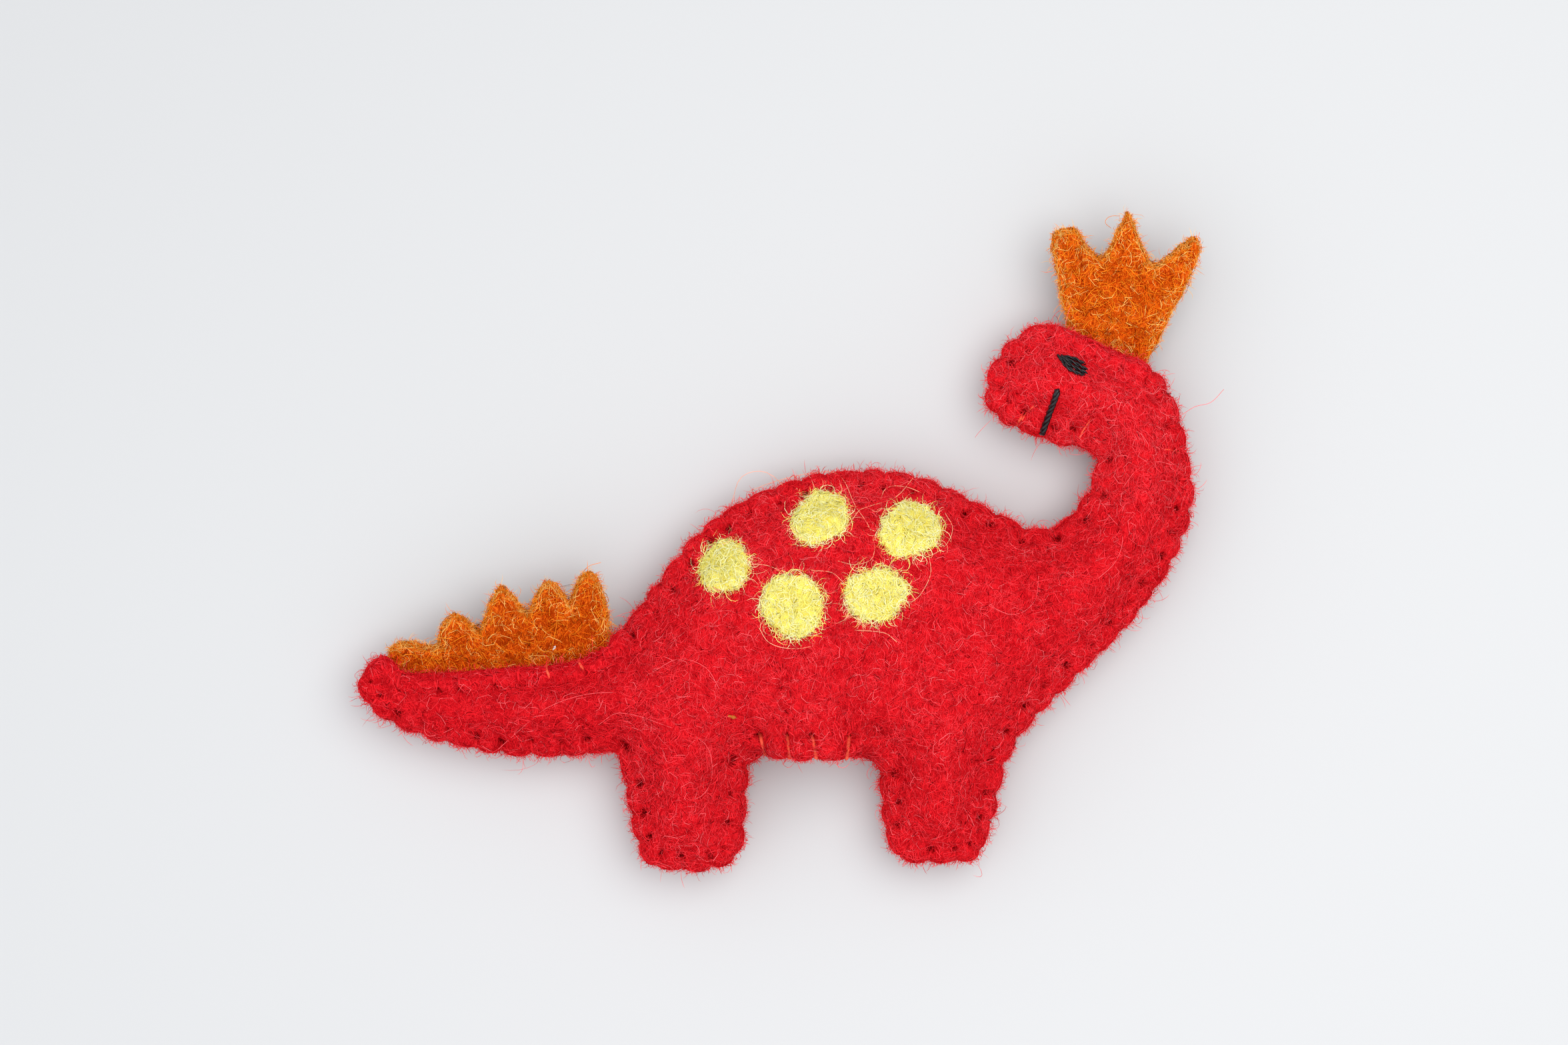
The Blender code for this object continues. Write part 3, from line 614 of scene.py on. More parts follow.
def facing(verts, faces, up):
    """The faces, each turned to face up or down."""
    a, b, c = (verts[faces[:, k]][:, :2] for k in range(3))
    ab, ac = b - a, c - a
    turn = ab[:, 0] * ac[:, 1] - ab[:, 1] * ac[:, 0]
    wrong = (turn < 0) if up else (turn > 0)
    faces = faces.copy()
    faces[wrong] = faces[wrong][:, ::-1]
    return faces


def joined(parts):
    """Several (vertices, faces) as one."""
    verts, faces, first = [], [], 0
    for v, f in parts:
        verts.append(v)
        faces.append(np.asarray(f) + first)
        first += len(v)
    return np.vstack(verts), np.vstack(faces)


def closed_sheet(loop, top_inner, bottom_inner, top, bottom, steps=2, slip=None):
    """A closed body over a loop: an upper and a lower sheet, and a wall between their edges.

    The walls come last among the faces. slip gives how far the upper sheet lies aside.
    """
    count = len(loop)
    upper_xy, upper_faces = triangulated(loop, top_inner)
    lower_xy, lower_faces = triangulated(loop, bottom_inner)
    aside = 0.0 if slip is None else slip(upper_xy)
    upper = np.column_stack([upper_xy + aside, top(upper_xy)])
    lower = np.column_stack([lower_xy, bottom(lower_xy)])
    verts = [upper, lower]
    faces = [facing(upper, upper_faces, True), facing(lower, lower_faces, False) + len(upper)]
    first = len(upper) + len(lower)
    rings = [np.arange(count)]
    for k in range(1, steps):
        share = k / steps
        verts.append(upper[:count] * (1 - share) + lower[:count] * share)
        rings.append(np.arange(count) + first)
        first += count
    rings.append(np.arange(count) + len(upper))
    for high, low in zip(rings[:-1], rings[1:]):
        after_high, after_low = np.roll(high, -1), np.roll(low, -1)
        faces.append(np.column_stack([high, low, after_low]))
        faces.append(np.column_stack([high, after_low, after_high]))
    return np.vstack(verts), np.vstack(faces)


def lobed_loop(step):
    """The scalloped outline and its normals."""
    places = np.arange(0.0, EDGE_LENGTH, step)
    here, _, out = edge_frame(places)
    loop = here + out * bulge(places)[:, None]
    return loop, out


PANEL_LOOP, PANEL_OUT = lobed_loop(0.33)


def panel_rows(depths):
    """Points inside the scalloped outline at several depths."""
    rows = []
    for depth in depths:
        row = PANEL_LOOP - PANEL_OUT * depth
        rows.append(row[sampled(LOBED_DEPTH, row) > 0.75 * depth])
    return np.vstack(rows)


def inside_grid(spacing, margin):
    """A grid of points inside the scalloped outline."""
    points = hex_grid(GRID_LOW, GRID_HIGH, spacing)
    return points[sampled(LOBED_DEPTH, points) > margin]


def front_panel():
    fine = np.vstack([panel_rows((0.12, 0.32, 0.62)), inside_grid(0.42, 0.95)])
    return closed_sheet(PANEL_LOOP, fine, inside_grid(1.6, 1.2), OUTSIDE_FRONT, INSIDE_FRONT)


def back_panel():
    fine = np.vstack([panel_rows((0.15, 0.5)), inside_grid(0.62, 1.0)])
    return closed_sheet(PANEL_LOOP, inside_grid(1.6, 1.2), fine, INSIDE_BACK, OUTSIDE_BACK)


def inside(loop, xy):
    """Which points of xy lie inside a closed loop."""
    a, b = loop, np.roll(loop, -1, axis=0)
    x, y = xy[:, 0:1], xy[:, 1:2]
    spans = (a[:, 1] > y) != (b[:, 1] > y)
    rise = np.where(a[:, 1] == b[:, 1], 1.0, b[:, 1] - a[:, 1])
    crossing = a[:, 0] + (y - a[:, 1]) * (b[:, 0] - a[:, 0]) / rise
    return (spans & (x < crossing)).sum(1) % 2 == 1


def trim_shape(span, shown, lean, up, spacing):
    """A thick felt shape with an uneven cut edge, caught in the seam.

    It leans forward, so that its upper cut edges show.
    """
    foot = at_edge(np.linspace(*span, 24), TUCK)
    line = cut_line(np.vstack([shown, foot]))[::-1]
    loop, places = resampled(line, 0.3)
    along = np.roll(loop, -1, axis=0) - np.roll(loop, 1, axis=0)
    along /= np.linalg.norm(along, axis=1)[:, None]
    out = np.column_stack([along[:, 1], -along[:, 0]])
    ragged = np.interp(places, places[::3], rng.standard_normal(len(places[::3])))
    loop = loop + out * (0.10 * ragged)[:, None]
    points = hex_grid(loop.min(0), loop.max(0), spacing)
    points = points[inside(loop, points)]
    points = points[nearest(loop, points)[1] > 0.3]
    inner = np.vstack([points, loop - out * 0.14])
    fields = [[high * lumps(width) for width, high in TRIM_LUMPS] for _ in range(2)]

    def face(p, side, rough):
        beyond = np.maximum(-sampled(DEPTH, p), 0.0)
        middle = lean * np.maximum(beyond - LEAN_START, 0.0)
        rim = np.sqrt(1.0 - (1.0 - np.clip((nearest(loop, p)[1] + 0.02) / TRIM_ROUND, 0, 1)) ** 2)
        half = TRIM_FELT / 2 * (0.86 + 0.14 * rim)
        half += sum(sampled(field, p) for field in rough) * smoothstep(beyond, 0.0, 1.0)
        return middle + side * half

    def slip(p):
        beyond = np.maximum(-sampled(DEPTH, p), 0.0)
        return -smoothstep(beyond, 0.6, 3.5)[:, None] * np.asarray(up) * TRIM_SLIP

    return closed_sheet(
        loop, inner, inner, lambda p: face(p, 1, fields[0]), lambda p: face(p, -1, fields[1]),
        steps=5, slip=slip,
    )


def spot_shape(spot, surface, side, height, segments=48, rings=13):
    """A needle-felted pad of wool that follows the panel under it."""
    x, y = spot[:2]
    turn = np.linspace(0, 2 * math.pi, segments, endpoint=False)
    wobble = 1.0 + 0.045 * np.sin(2 * turn + x) + 0.04 * np.sin(3 * turn + y) + 0.03 * np.sin(5 * turn + x)
    wobble += 0.022 * rng.standard_normal(segments)
    verts = [(x, y)]
    for k in range(1, rings + 1):
        verts += zip(*spot_places(spot, (k / rings) ** 0.8 * wobble, turn))
    plan = np.array(verts)
    share = np.concatenate([[0.0], np.repeat((np.arange(1, rings + 1) / rings) ** 0.8, segments)])
    swell = height * np.sqrt(np.clip(1.0 - share**4, 0.0, 1.0)) * 0.85 + 0.12
    swell -= height * 0.45 * bell(share, 0.22)
    rough = sum(rise * sampled(lumps(width), plan) for width, rise in SPOT_LUMPS) * (1 - share**6)
    top = sampled(surface, plan) + swell + rough
    low = sampled(surface, plan) - SPOT_DIMPLE
    faces = [(0, 1 + i, 1 + (i + 1) % segments) for i in range(segments)]
    for k in range(rings - 1):
        a, b = 1 + k * segments, 1 + (k + 1) * segments
        for i in range(segments):
            j = (i + 1) % segments
            faces += [(a + i, b + i, b + j), (a + i, b + j, a + j)]
    faces = np.array(faces)
    count = len(plan)
    last = 1 + (rings - 1) * segments
    wall = []
    for i in range(segments):
        j = (i + 1) % segments
        wall += [(last + i, last + i + count, last + j + count), (last + i, last + j + count, last + j)]
    upper = np.column_stack([plan, side * top])
    lower = np.column_stack([plan, side * low])
    all_faces = np.vstack([faces, faces[:, ::-1] + count, wall])
    if side < 0:
        all_faces = all_faces[:, ::-1]
    return np.vstack([upper, lower]), all_faces


def tube_faces(rings, sides):
    """The triangles of a tube whose points are its rings and then its two tips."""
    faces = []
    for k in range(rings - 1):
        a, b = k * sides, (k + 1) * sides
        for i in range(sides):
            j = (i + 1) % sides
            faces += [(a + i, a + j, b + j), (a + i, b + j, b + i)]
    last, tip = (rings - 1) * sides, rings * sides
    faces += [(tip, (i + 1) % sides, i) for i in range(sides)]
    faces += [(tip + 1, last + i, last + (i + 1) % sides) for i in range(sides)]
    return np.array(faces)


def tube(path, radius, sides=6):
    """A tube along a path, with pointed ends. The radius may vary."""
    path = np.asarray(path, dtype=float)
    radius = np.broadcast_to(radius, len(path))
    along = np.gradient(path, axis=0)
    along /= np.linalg.norm(along, axis=1)[:, None]
    side = np.cross(along[0], (0.13, 0.29, 0.95))
    rings = []
    for t, p, r in zip(along, path, radius):
        side = side - t * side.dot(t)
        side /= np.linalg.norm(side)
        up = np.cross(t, side)
        a = np.linspace(0, 2 * math.pi, sides, endpoint=False)[:, None]
        rings.append(p + r * (np.cos(a) * side + np.sin(a) * up))
    tips = path[[0, -1]] + along[[0, -1]] * np.array([[-0.5], [0.5]]) * radius[[0, -1], None]
    return np.vstack([*rings, tips]), tube_faces(len(path), sides)


def plied(path, radius, plies, pitch):
    """A thread of two or three strands twisted round each other along a path."""
    path = np.asarray(path, dtype=float)
    line = np.vstack([resampled(path, 0.16)[0], path[-1:]])
    places = lengths_along(line)
    along = np.gradient(line, axis=0)
    along /= np.linalg.norm(along, axis=1)[:, None]
    side = np.cross(along, (0.05, 0.11, 1.0))
    side /= np.linalg.norm(side, axis=1)[:, None]
    up = np.cross(along, side)
    strand = radius * (0.56 if plies == 2 else 0.54)
    parts = []
    for k in range(plies):
        turn = (2 * math.pi * (places / pitch + k / plies))[:, None]
        centre = line + (radius - strand) * (np.cos(turn) * side + np.sin(turn) * up)
        taper = np.minimum(1.0, 0.55 + np.minimum(places, places[-1] - places) / 0.3)
        parts.append(tube(centre, strand * taper))
    return joined(parts)


# Fibres
def tree_of(shapes):
    """A search tree over closed shapes, given as (vertices, faces)."""
    verts, faces = joined(shapes)
    return BVHTree.FromPolygons([tuple(v) for v in verts], [tuple(int(i) for i in f) for f in faces])


def scattered(shape, count, keep=None):
    """Random points on a shape, spread by area, with the normals of the faces they lie on."""
    a, b, c = corners(shape)
    normal = np.cross(b - a, c - a)
    area = np.linalg.norm(normal, axis=1)
    weight = area
    if keep is not None:
        weight = area * keep((a + b + c) / 3, normal / np.maximum(area, 1e-12)[:, None])
    chosen = rng.choice(len(area), count, p=weight / weight.sum())
    u, v = rng.random((2, count))
    flip = u + v > 1
    u, v = np.where(flip, 1 - u, u), np.where(flip, 1 - v, v)
    points = a[chosen] + (b - a)[chosen] * u[:, None] + (c - a)[chosen] * v[:, None]
    return points, normal[chosen] / area[chosen][:, None]


def unit(v):
    return v / np.maximum(np.linalg.norm(v, axis=-1), 1e-9)[..., None]


def across(normals):
    """A random direction square to each normal."""
    return unit(np.cross(normals, unit(rng.standard_normal(normals.shape))))


def curls(points, normals, length, radius, count=4):
    """Curled paths in the tangent planes: points of shape (fibre, point, 3)."""
    n = len(points)
    length = np.broadcast_to(length, n)[:, None]
    radius = (np.broadcast_to(radius, n) * rng.choice((-1, 1), n))[:, None]
    u = np.linspace(-0.5, 0.5, count)[None] * length
    first = across(normals)
    second = np.cross(normals, first)
    bend = 1.0 + 0.35 * rng.standard_normal((n, 1))
    x = radius * np.sin(u / radius)
    y = radius * (1 - np.cos(u / radius)) * bend
    return points[:, None] + x[..., None] * first[:, None] + y[..., None] * second[:, None]


def laid(paths, tree, lift, ends):
    """Paths laid on a surface, arching off it by lift and sinking in by ends at each end."""
    n, m, _ = paths.shape
    arch = np.sin(np.linspace(0, math.pi, m))[None]
    height = arch * np.broadcast_to(lift, n)[:, None] + (1 - arch) * np.broadcast_to(ends, n)[:, None]
    laid_points = np.empty_like(paths)
    normals = np.empty_like(paths)
    flat, h = paths.reshape(-1, 3), height.ravel()
    points, norms = laid_points.reshape(-1, 3), normals.reshape(-1, 3)
    for i, p in enumerate(flat):
        place, normal, _, _ = tree.find_nearest(p)
        points[i] = place + normal * h[i]
        norms[i] = normal
    return points.reshape(n, m, 3), norms.reshape(n, m, 3)


# How much of its own round form a fibre's shading keeps
ROUNDNESS = 0.45


def fibre_mesh(name, paths, widths, tones, materials, shade, sides=3):
    """Thin closed fibres with pointed ends as one mesh, each in one of several tones.

    shade gives a direction for each fibre that it is lit from as if it were flat felt, because
    so thin a strand lets light through.
    """
    n, m, _ = paths.shape
    along = unit(np.gradient(paths, axis=1))
    side = unit(np.cross(along, unit(rng.standard_normal((n, 1, 3)))))
    up = np.cross(along, side)
    taper = np.sqrt(np.clip(np.sin(np.linspace(0, math.pi, m)), 0.0, 1.0))[1:-1]
    radius = np.broadcast_to(widths, n)[:, None] / 2 * taper[None]
    turn = 2 * math.pi * np.arange(sides) / sides
    c, s = np.cos(turn)[None, None, :, None], np.sin(turn)[None, None, :, None]
    outward = c * side[:, 1:-1, None] + s * up[:, 1:-1, None]
    ring = paths[:, 1:-1, None] + radius[:, :, None, None] * outward
    verts = np.concatenate([ring.reshape(n, -1, 3), paths[:, :1], paths[:, -1:]], axis=1)
    per = verts.shape[1]
    faces = tube_faces(m - 2, sides)
    all_faces = (np.arange(n)[:, None, None] * per + faces[None]).reshape(-1, 3)
    slots = np.repeat(np.broadcast_to(tones, n), len(faces))
    made = new_object(name, verts.reshape(-1, 3), all_faces, materials, slots)
    lit = np.repeat(unit(shade)[:, None], per, axis=1)
    lit[:, :-2] += ROUNDNESS * outward.reshape(n, -1, 3)
    made.data.normals_split_custom_set_from_vertices(unit(lit).reshape(-1, 3).tolist())
    return made


def lit_flat(made):
    """Shades a thin hair mostly as if it were flat and faced up."""
    own = np.array([v.normal for v in made.data.vertices])
    made.data.normals_split_custom_set_from_vertices(unit(ROUNDNESS * own + (0, 0, 1)).tolist())
    return made


def tone_choice(count, shares):
    return rng.choice(len(shares), count, p=np.array(shares) / sum(shares))


# Materials
# The felt's pattern: how often a strand repeats per metre across, along and through it
STRAND_SCALE = (6500.0, 900.0, 2500.0)
STRAND_TURNS = (0.3, 1.35, 2.45)
STRAND_RELIEF = 0.00015
BEND = 0.0016


def add(tree, kind, inputs, **settings):
    """The outputs of a new node with these settings, its inputs set or linked."""
    node = tree.nodes.new("ShaderNode" + kind)
    for name, value in settings.items():
        setattr(node, name, value)
    for name, value in inputs.items():
        if isinstance(value, bpy.types.NodeSocket):
            tree.links.new(value, node.inputs[name])
        else:
            node.inputs[name].default_value = value
    return node.outputs


def mapped(tree, value, start, end, low, high=1.0):
    """A value taken from the range start to end into the range low to high."""
    ends = {"From Min": start, "From Max": end, "To Min": low, "To Max": high}
    return add(tree, "MapRange", {"Value": value, **ends})["Result"]


def multiplied(tree, a, b):
    """One colour times another or times a value."""
    inputs = {"Factor": 1.0, "A": a, "B": b}
    return add(tree, "Mix", inputs, data_type="RGBA", blend_type="MULTIPLY")["Result"]


def place_in(tree):
    """Places on the object, in metres."""
    return add(tree, "TexCoord", {})["Object"]


def noise_in(tree, vector, scale, detail):
    return add(tree, "TexNoise", {"Vector": vector, "Scale": scale, "Detail": detail})


def principled(name, roughness, specular):
    """A material, its node tree and its shader's inputs."""
    finish = bpy.data.materials.new(name)
    finish.use_nodes = True
    inputs = finish.node_tree.nodes["Principled BSDF"].inputs
    inputs["Roughness"].default_value = roughness
    inputs["Specular IOR Level"].default_value = specular
    return finish, finish.node_tree, inputs


def spun(name, colour, roughness=0.9, specular=0.0, vary=0.25):
    """Wool fibre or thread, darker in patches along it."""
    finish, tree, shader = principled(name, roughness, specular)
    patches = noise_in(tree, place_in(tree), 900.0, 2.0)["Fac"]
    shaded = multiplied(tree, (*colour, 1.0), mapped(tree, patches, 0.35, 0.6, 1.0 - vary))
    tree.links.new(shaded, shader["Base Color"])
    return finish


def felted(name, dark, middle, light, bump=0.22):
    """Matted wool: fine strands that run all ways, from dark gaps to bright curls."""
    finish, tree, shader = principled(name, 0.95, 0.0)
    place = place_in(tree)
    sway = {0: noise_in(tree, place, 700.0, 1.0)["Color"], 1: (BEND, BEND, BEND), 2: place}
    bent = add(tree, "VectorMath", sway, operation="MULTIPLY_ADD")["Vector"]
    layers = []
    for turn in STRAND_TURNS:
        stretch = {"Vector": bent, "Rotation": (0.2, 0.3, turn), "Scale": STRAND_SCALE}
        layers.append(noise_in(tree, add(tree, "Mapping", stretch)["Vector"], 1.0, 1.0)["Fac"])
    strands = layers[0]
    for layer in layers[1:]:
        strands = add(tree, "Math", {0: strands, 1: layer}, operation="MAXIMUM")["Value"]

    curl = tree.nodes.new("ShaderNodeValToRGB")
    ramp = curl.color_ramp
    ramp.elements[0].position, ramp.elements[1].position = 0.44, 0.76
    ramp.elements[0].color, ramp.elements[1].color = (*dark, 1.0), (*light, 1.0)
    ramp.elements.new(0.60).color = (*middle, 1.0)
    tree.links.new(strands, curl.inputs["Fac"])
    patches = mapped(tree, noise_in(tree, place, 160.0, 3.0)["Fac"], 0.3, 0.7, 0.94)
    tree.links.new(multiplied(tree, curl.outputs["Color"], patches), shader["Base Color"])
    relief = {"Strength": bump, "Distance": STRAND_RELIEF, "Height": strands}
    tree.links.new(add(tree, "Bump", relief)["Normal"], shader["Normal"])
    return finish


RED_FELT = felted("red felt", (0.40, 0.0030, 0.0065), (0.63, 0.0085, 0.0145), (0.87, 0.024, 0.033))
# Painted shade: a deeper red felt for the bottom of the stitch pits
PIT_SHADE_FELT = felted("red felt with painted pit shade", (0.17, 0.0012, 0.003), (0.34, 0.0035, 0.0065), (0.58, 0.010, 0.015))
ORANGE_FELT = felted("orange felt", (0.26, 0.017, 0.0008), (0.57, 0.068, 0.004), (0.93, 0.20, 0.014))
# Painted glow: a brighter orange felt for the trims' steep cut edges
ORANGE_CUT_PAINTED_GLOW = felted("orange felt cut edge with painted glow", (0.42, 0.038, 0.0015), (0.80, 0.125, 0.006), (1.0, 0.27, 0.02))
YELLOW_WOOL = felted("yellow wool", (0.90, 0.71, 0.07), (0.98, 0.85, 0.14), (1.0, 0.95, 0.30))
STUFFING = felted("stuffing wool", (0.50, 0.46, 0.40), (0.72, 0.68, 0.60), (0.86, 0.83, 0.76))


def fibre_tones(name, colours, vary=0.25):
    """Fibres of one wool, from its deepest tone to its palest."""
    return [spun(f"{name} fibre {i}", colour, vary=vary) for i, colour in enumerate(colours, 1)]


RED_TONES = fibre_tones("red", [
    (0.62, 0.0052, 0.0105), (0.88, 0.0155, 0.024), (0.94, 0.040, 0.054), (0.98, 0.12, 0.135),
])
ORANGE_TONES = fibre_tones("orange", [
    (0.50, 0.045, 0.0015), (0.86, 0.130, 0.005), (0.97, 0.27, 0.015), (1.0, 0.52, 0.13),
])
YELLOW_TONES = fibre_tones("yellow", [(0.98, 0.80, 0.12), (1.0, 0.91, 0.24), (1.0, 0.97, 0.52)], 0.1)
WOOL_TONES = fibre_tones("stuffing", [
    (0.52, 0.48, 0.41), (0.66, 0.62, 0.54), (0.76, 0.72, 0.65), (0.84, 0.82, 0.77),
])
PEACH_FIBRE = spun("peach fibre", (0.98, 0.40, 0.24))
STRAW = spun("straw", (0.50, 0.15, 0.03), 0.8, vary=0.4)
SPECK = spun("white speck", (0.78, 0.77, 0.74), 0.8)
BLACK_THREAD = spun("black thread", (0.005, 0.005, 0.007), 0.33, 0.4, 0.6)
RED_THREAD = spun("red thread", (0.97, 0.115, 0.060), 0.7, 0.1)
# Painted shade: a darker, felt-red copy of the red thread for the seam stitches that are not proud
SHADED_THREAD = spun("red thread with painted shade", (0.78, 0.012, 0.020), 0.8, 0.1)


def dress(piece, nodes=()):
    """Puts a piece on the puppet, in place of CAD nodes if any are named."""
    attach(piece, "root")
    if nodes:
        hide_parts(*nodes)
    return piece


def solid(name, shape, finish, nodes=()):
    return dress(new_object(name, *shape, [finish]), nodes)


# Panels
def body_felt(name, shape, node):
    """A body panel, with painted shade: deeper red felt at the bottom of its stitch pits."""
    centres = shape[0][shape[1]].mean(1)
    # Faces deep in a stitch pit take the painted pit shade
    painted_pit_shade = sampled(PIT, centres[:, :2]) > PIT_SHADE_DEPTH
    return dress(new_object(name, *shape, [RED_FELT, PIT_SHADE_FELT], painted_pit_shade), [node])


front_shape, back_shape = front_panel(), back_panel()
body_felt("front_felt", front_shape, "front_panel")
body_felt("back_felt", back_shape, "back_panel")


# Crown and spikes
def levelness(shape):
    """How much of each triangle's normal points up or down, from none to one."""
    a, b, c = corners(shape)
    rise = np.cross(b - a, c - a)
    return np.abs(rise[:, 2]) / np.linalg.norm(rise, axis=1)


def trim(name, shape, node):
    """A trim piece, with painted glow on its cut edges: brighter felt on its steep faces."""
    # Steep faces take the felt with painted glow
    cut = levelness(shape) < 0.75
    felt = dress(new_object(name, *shape, [ORANGE_FELT, ORANGE_CUT_PAINTED_GLOW], cut), [node])


crown_shape = trim_shape(CROWN_SPAN, CROWN_EDGE, CROWN_LEAN, CROWN_UP, 0.45)
spikes_shape = trim_shape(SPIKES_SPAN, SPIKES_EDGE, SPIKES_LEAN, SPIKES_UP, 0.45)
trim("crown_felt", crown_shape, "crown")
trim("spikes_felt", spikes_shape, "tail_spikes")

# Spots
front_spots, back_spots = [], []
for i, spot in enumerate(SPOTS, 1):
    front_spots.append(spot_shape(spot, FRONT_OUTER, 1, SPOT_HEIGHT))
    back_spots.append(spot_shape(spot, BACK_OUTER, -1, BACK_SPOT_HEIGHT, 30, 7))
    solid(f"front_wool_spot_{i}", front_spots[-1], YELLOW_WOOL, [f"front_spot_{i}"])
    solid(f"back_wool_spot_{i}", back_spots[-1], YELLOW_WOOL, [f"back_spot_{i}"])


# Eye and mouth
def on_surface(xy, surface, side, lift):
    """Places raised that far off a panel."""
    return np.column_stack([xy, side * (sampled(surface, xy) + lift)])


def eye_shape(surface, side):
    """Satin stitches side by side: an oval with a pointed front corner."""
    along = np.array((math.cos(EYE_SLOPE), math.sin(EYE_SLOPE)))
    square = np.array((-along[1], along[0]))
    parts = []
    for aside, start, end in EYE_STRANDS:
        u = np.linspace(0, 1, 15)
        reach = start + (end - start) * u
        spread = aside * (0.30 + 0.70 * smoothstep(reach, -2.2, 0.2) - 0.15 * smoothstep(reach, 0.8, 2.2))
        xy = np.array(EYE_CENTRE) + reach[:, None] * along + spread[:, None] * square
        lift = 0.36 + 0.22 * np.sin(math.pi * u) - 0.50 * np.abs(2 * u - 1) ** 6
        lift += 0.06 * math.sin(9 * aside)
        parts.append(plied(on_surface(xy, surface, side, lift), EYE_PLY, 2, 2.2))
    return joined(parts)


def mouth_shape(surface, side):
    """One long stitch that dives into the felt at both ends."""
    line = smooth_line(MOUTH, closed=False)
    lift = 0.34 - 0.5 * np.abs(np.linspace(-1, 1, len(line))) ** 8
    return plied(on_surface(line, surface, side, lift), MOUTH_PLY, 3, 3.2)


for label, surface, side in (("front", FRONT_OUTER, 1), ("back", BACK_OUTER, -1)):
    eye, mouth = eye_shape(surface, side), mouth_shape(surface, side)
    solid(f"{label}_satin_eye", eye, BLACK_THREAD, [f"{label}_eye"])
    solid(f"{label}_sewn_mouth", mouth, BLACK_THREAD, [f"{label}_mouth"])


# Seam and hems
def stitch_path(k, front, back, proud):
    """One stitch: out of the front pit, over the edge and into the back pit."""
    s, depth, slant = STITCHES[k], STITCH_DEPTHS[k], STITCH_SLANTS[k]
    edge = -float(bulge(np.array([s]))[0]) + 0.1
    depths = np.array([depth, depth - 0.25, depth * 0.6, edge + 0.3])
    xy = np.vstack([at_edge(s, d, slant * (d - depth / 2)) for d in depths])
    rim = at_edge(s, edge - 0.15, slant * (edge - depth / 2))
    lift = np.array([-0.5, 0.12 + proud, 0.16 + proud, 0.05 + proud])
    top = np.column_stack([xy, front(xy) + lift])
    low = np.column_stack([xy, back(xy) - lift])[::-1]
    ends = (top[-1, 2], low[0, 2])
    side = np.vstack([np.column_stack([rim, [(z + sum(ends) / 2) / 2]]) for z in ends])
    return smooth_line(np.vstack([top, side, low]), closed=False)


def stitch_tube(k, front, back, radius=THREAD_RADIUS, proud=0.0):
    """One stitch's thread."""
    return tube(stitch_path(k, front, back, proud)[::4], radius, 5)


def stitch_nearest(place):
    """The index of the stitch nearest to a place."""
    return int(np.abs(STITCHES - edge_place(place)).argmin())


PROUD = [stitch_nearest(place) for place in PROUD_PLACES]
stitches = [(stitch_tube(k, OUTSIDE_FRONT, OUTSIDE_BACK), k in PROUD) for k in np.flatnonzero(~IN_HEM)]
stitches += [
    (plied(on_surface(smooth_line(line, closed=False), FRONT_OUTER, 1, 0.10), 0.13, 2, 1.4), True)
    for line in LOOSE_THREADS
]
seam_shape = joined([shape for shape, _ in stitches])
tones = np.concatenate([np.full(len(shape[1]), proud) for shape, proud in stitches])
# Stitches that are not proud take the thread with painted shade
seam = new_object("seam_stitches", *seam_shape, [SHADED_THREAD, RED_THREAD], tones)
dress(seam, ["seam_thread"])
for label, front, back, radius, proud in (
    ("front", OUTSIDE_FRONT, INSIDE_FRONT, HEM_THREAD_RADII[0], HEM_PROUD),
    ("back", INSIDE_BACK, OUTSIDE_BACK, HEM_THREAD_RADII[1], 0.0),
):
    hem = joined([stitch_tube(k, front, back, radius, proud) for k in np.flatnonzero(IN_HEM)])
    solid(f"{label}_hem_stitches", hem, RED_THREAD, [f"{label}_hem_thread"])


# Felt fuzz
def outer_face(side, edge):
    """Weights for a panel's outer face away from the edge, or for its rim."""
    def weigh(centres, normals):
        depth = sampled(LOBED_DEPTH, centres[:, :2])
        if edge:
            return 0.25 * (depth < 0.9) + 1.0 * (depth < 0.3)
        covered = sampled(BARE, centres[:, :2]) < 0.5
        return (normals[:, 2] * side > 0.05) * (depth > 0.4) * covered
    return weigh


def face_fuzz(name, shape, tree, count, tones, materials, keep=None):
    """Short curled fibres matted on a face."""
    points, normals = scattered(shape, count, keep)
    length = rng.gamma(6.0, 0.45, count) + 0.6
    radius = rng.uniform(0.45, 2.2, count)
    paths = curls(points, normals, np.minimum(length, 5.0), radius)
    lift = rng.gamma(1.6, 0.10, count) + 0.04
    paths, under = laid(paths, tree, np.minimum(lift, 0.7), -0.03)
    widths = rng.uniform(0.065, 0.105, count)
    return dress(fibre_mesh(name, paths, widths, tones(points), materials, under.mean(1)))


def rim_fuzz(name, shape, count, tones, materials, keep, outward, reach=1.0, bends=4):
    """Short fibres that stand out from an edge and curl back."""
    points, normals = scattered(shape, count, keep)
    direction = unit(0.35 * normals + outward(points) + 0.55 * rng.standard_normal(points.shape))
    sweep = across(direction)
    length = reach * np.minimum(0.3 + rng.gamma(1.5, 0.32, count), 3.0)
    angle = rng.uniform(0.5, 3.2, count)[:, None]
    t = np.linspace(0, 1, bends)[None]
    x = (length[:, None] * np.sin(angle * t) / angle)[..., None]
    y = (length[:, None] * (1 - np.cos(angle * t)) / angle)[..., None]
    paths = (points - 0.05 * normals)[:, None] + x * direction[:, None] + y * sweep[:, None]
    widths = rng.uniform(0.04, 0.075, count)
    shade = 0.4 * normals + (0, 0, 1.0)
    return dress(fibre_mesh(name, above_floor(paths), widths, tones(points), materials, shade))


def above_floor(paths):
    """Keeps paths off the surface that the puppet lies on."""
    paths = paths.copy()
    paths[..., 2] = np.maximum(paths[..., 2], FIBRE_CLEARANCE - CORNER[2])
    return paths


def out_from_edge(points):
    """The way out from the puppet's edge near each point."""
    out = edge_frame(sampled(ALONG, points[:, :2]))[2]
    return np.column_stack([out, np.zeros(len(out))])


def shared(*shares):
    """A choice of tones in those shares, whatever the places."""
    return lambda places: tone_choice(len(places), shares)
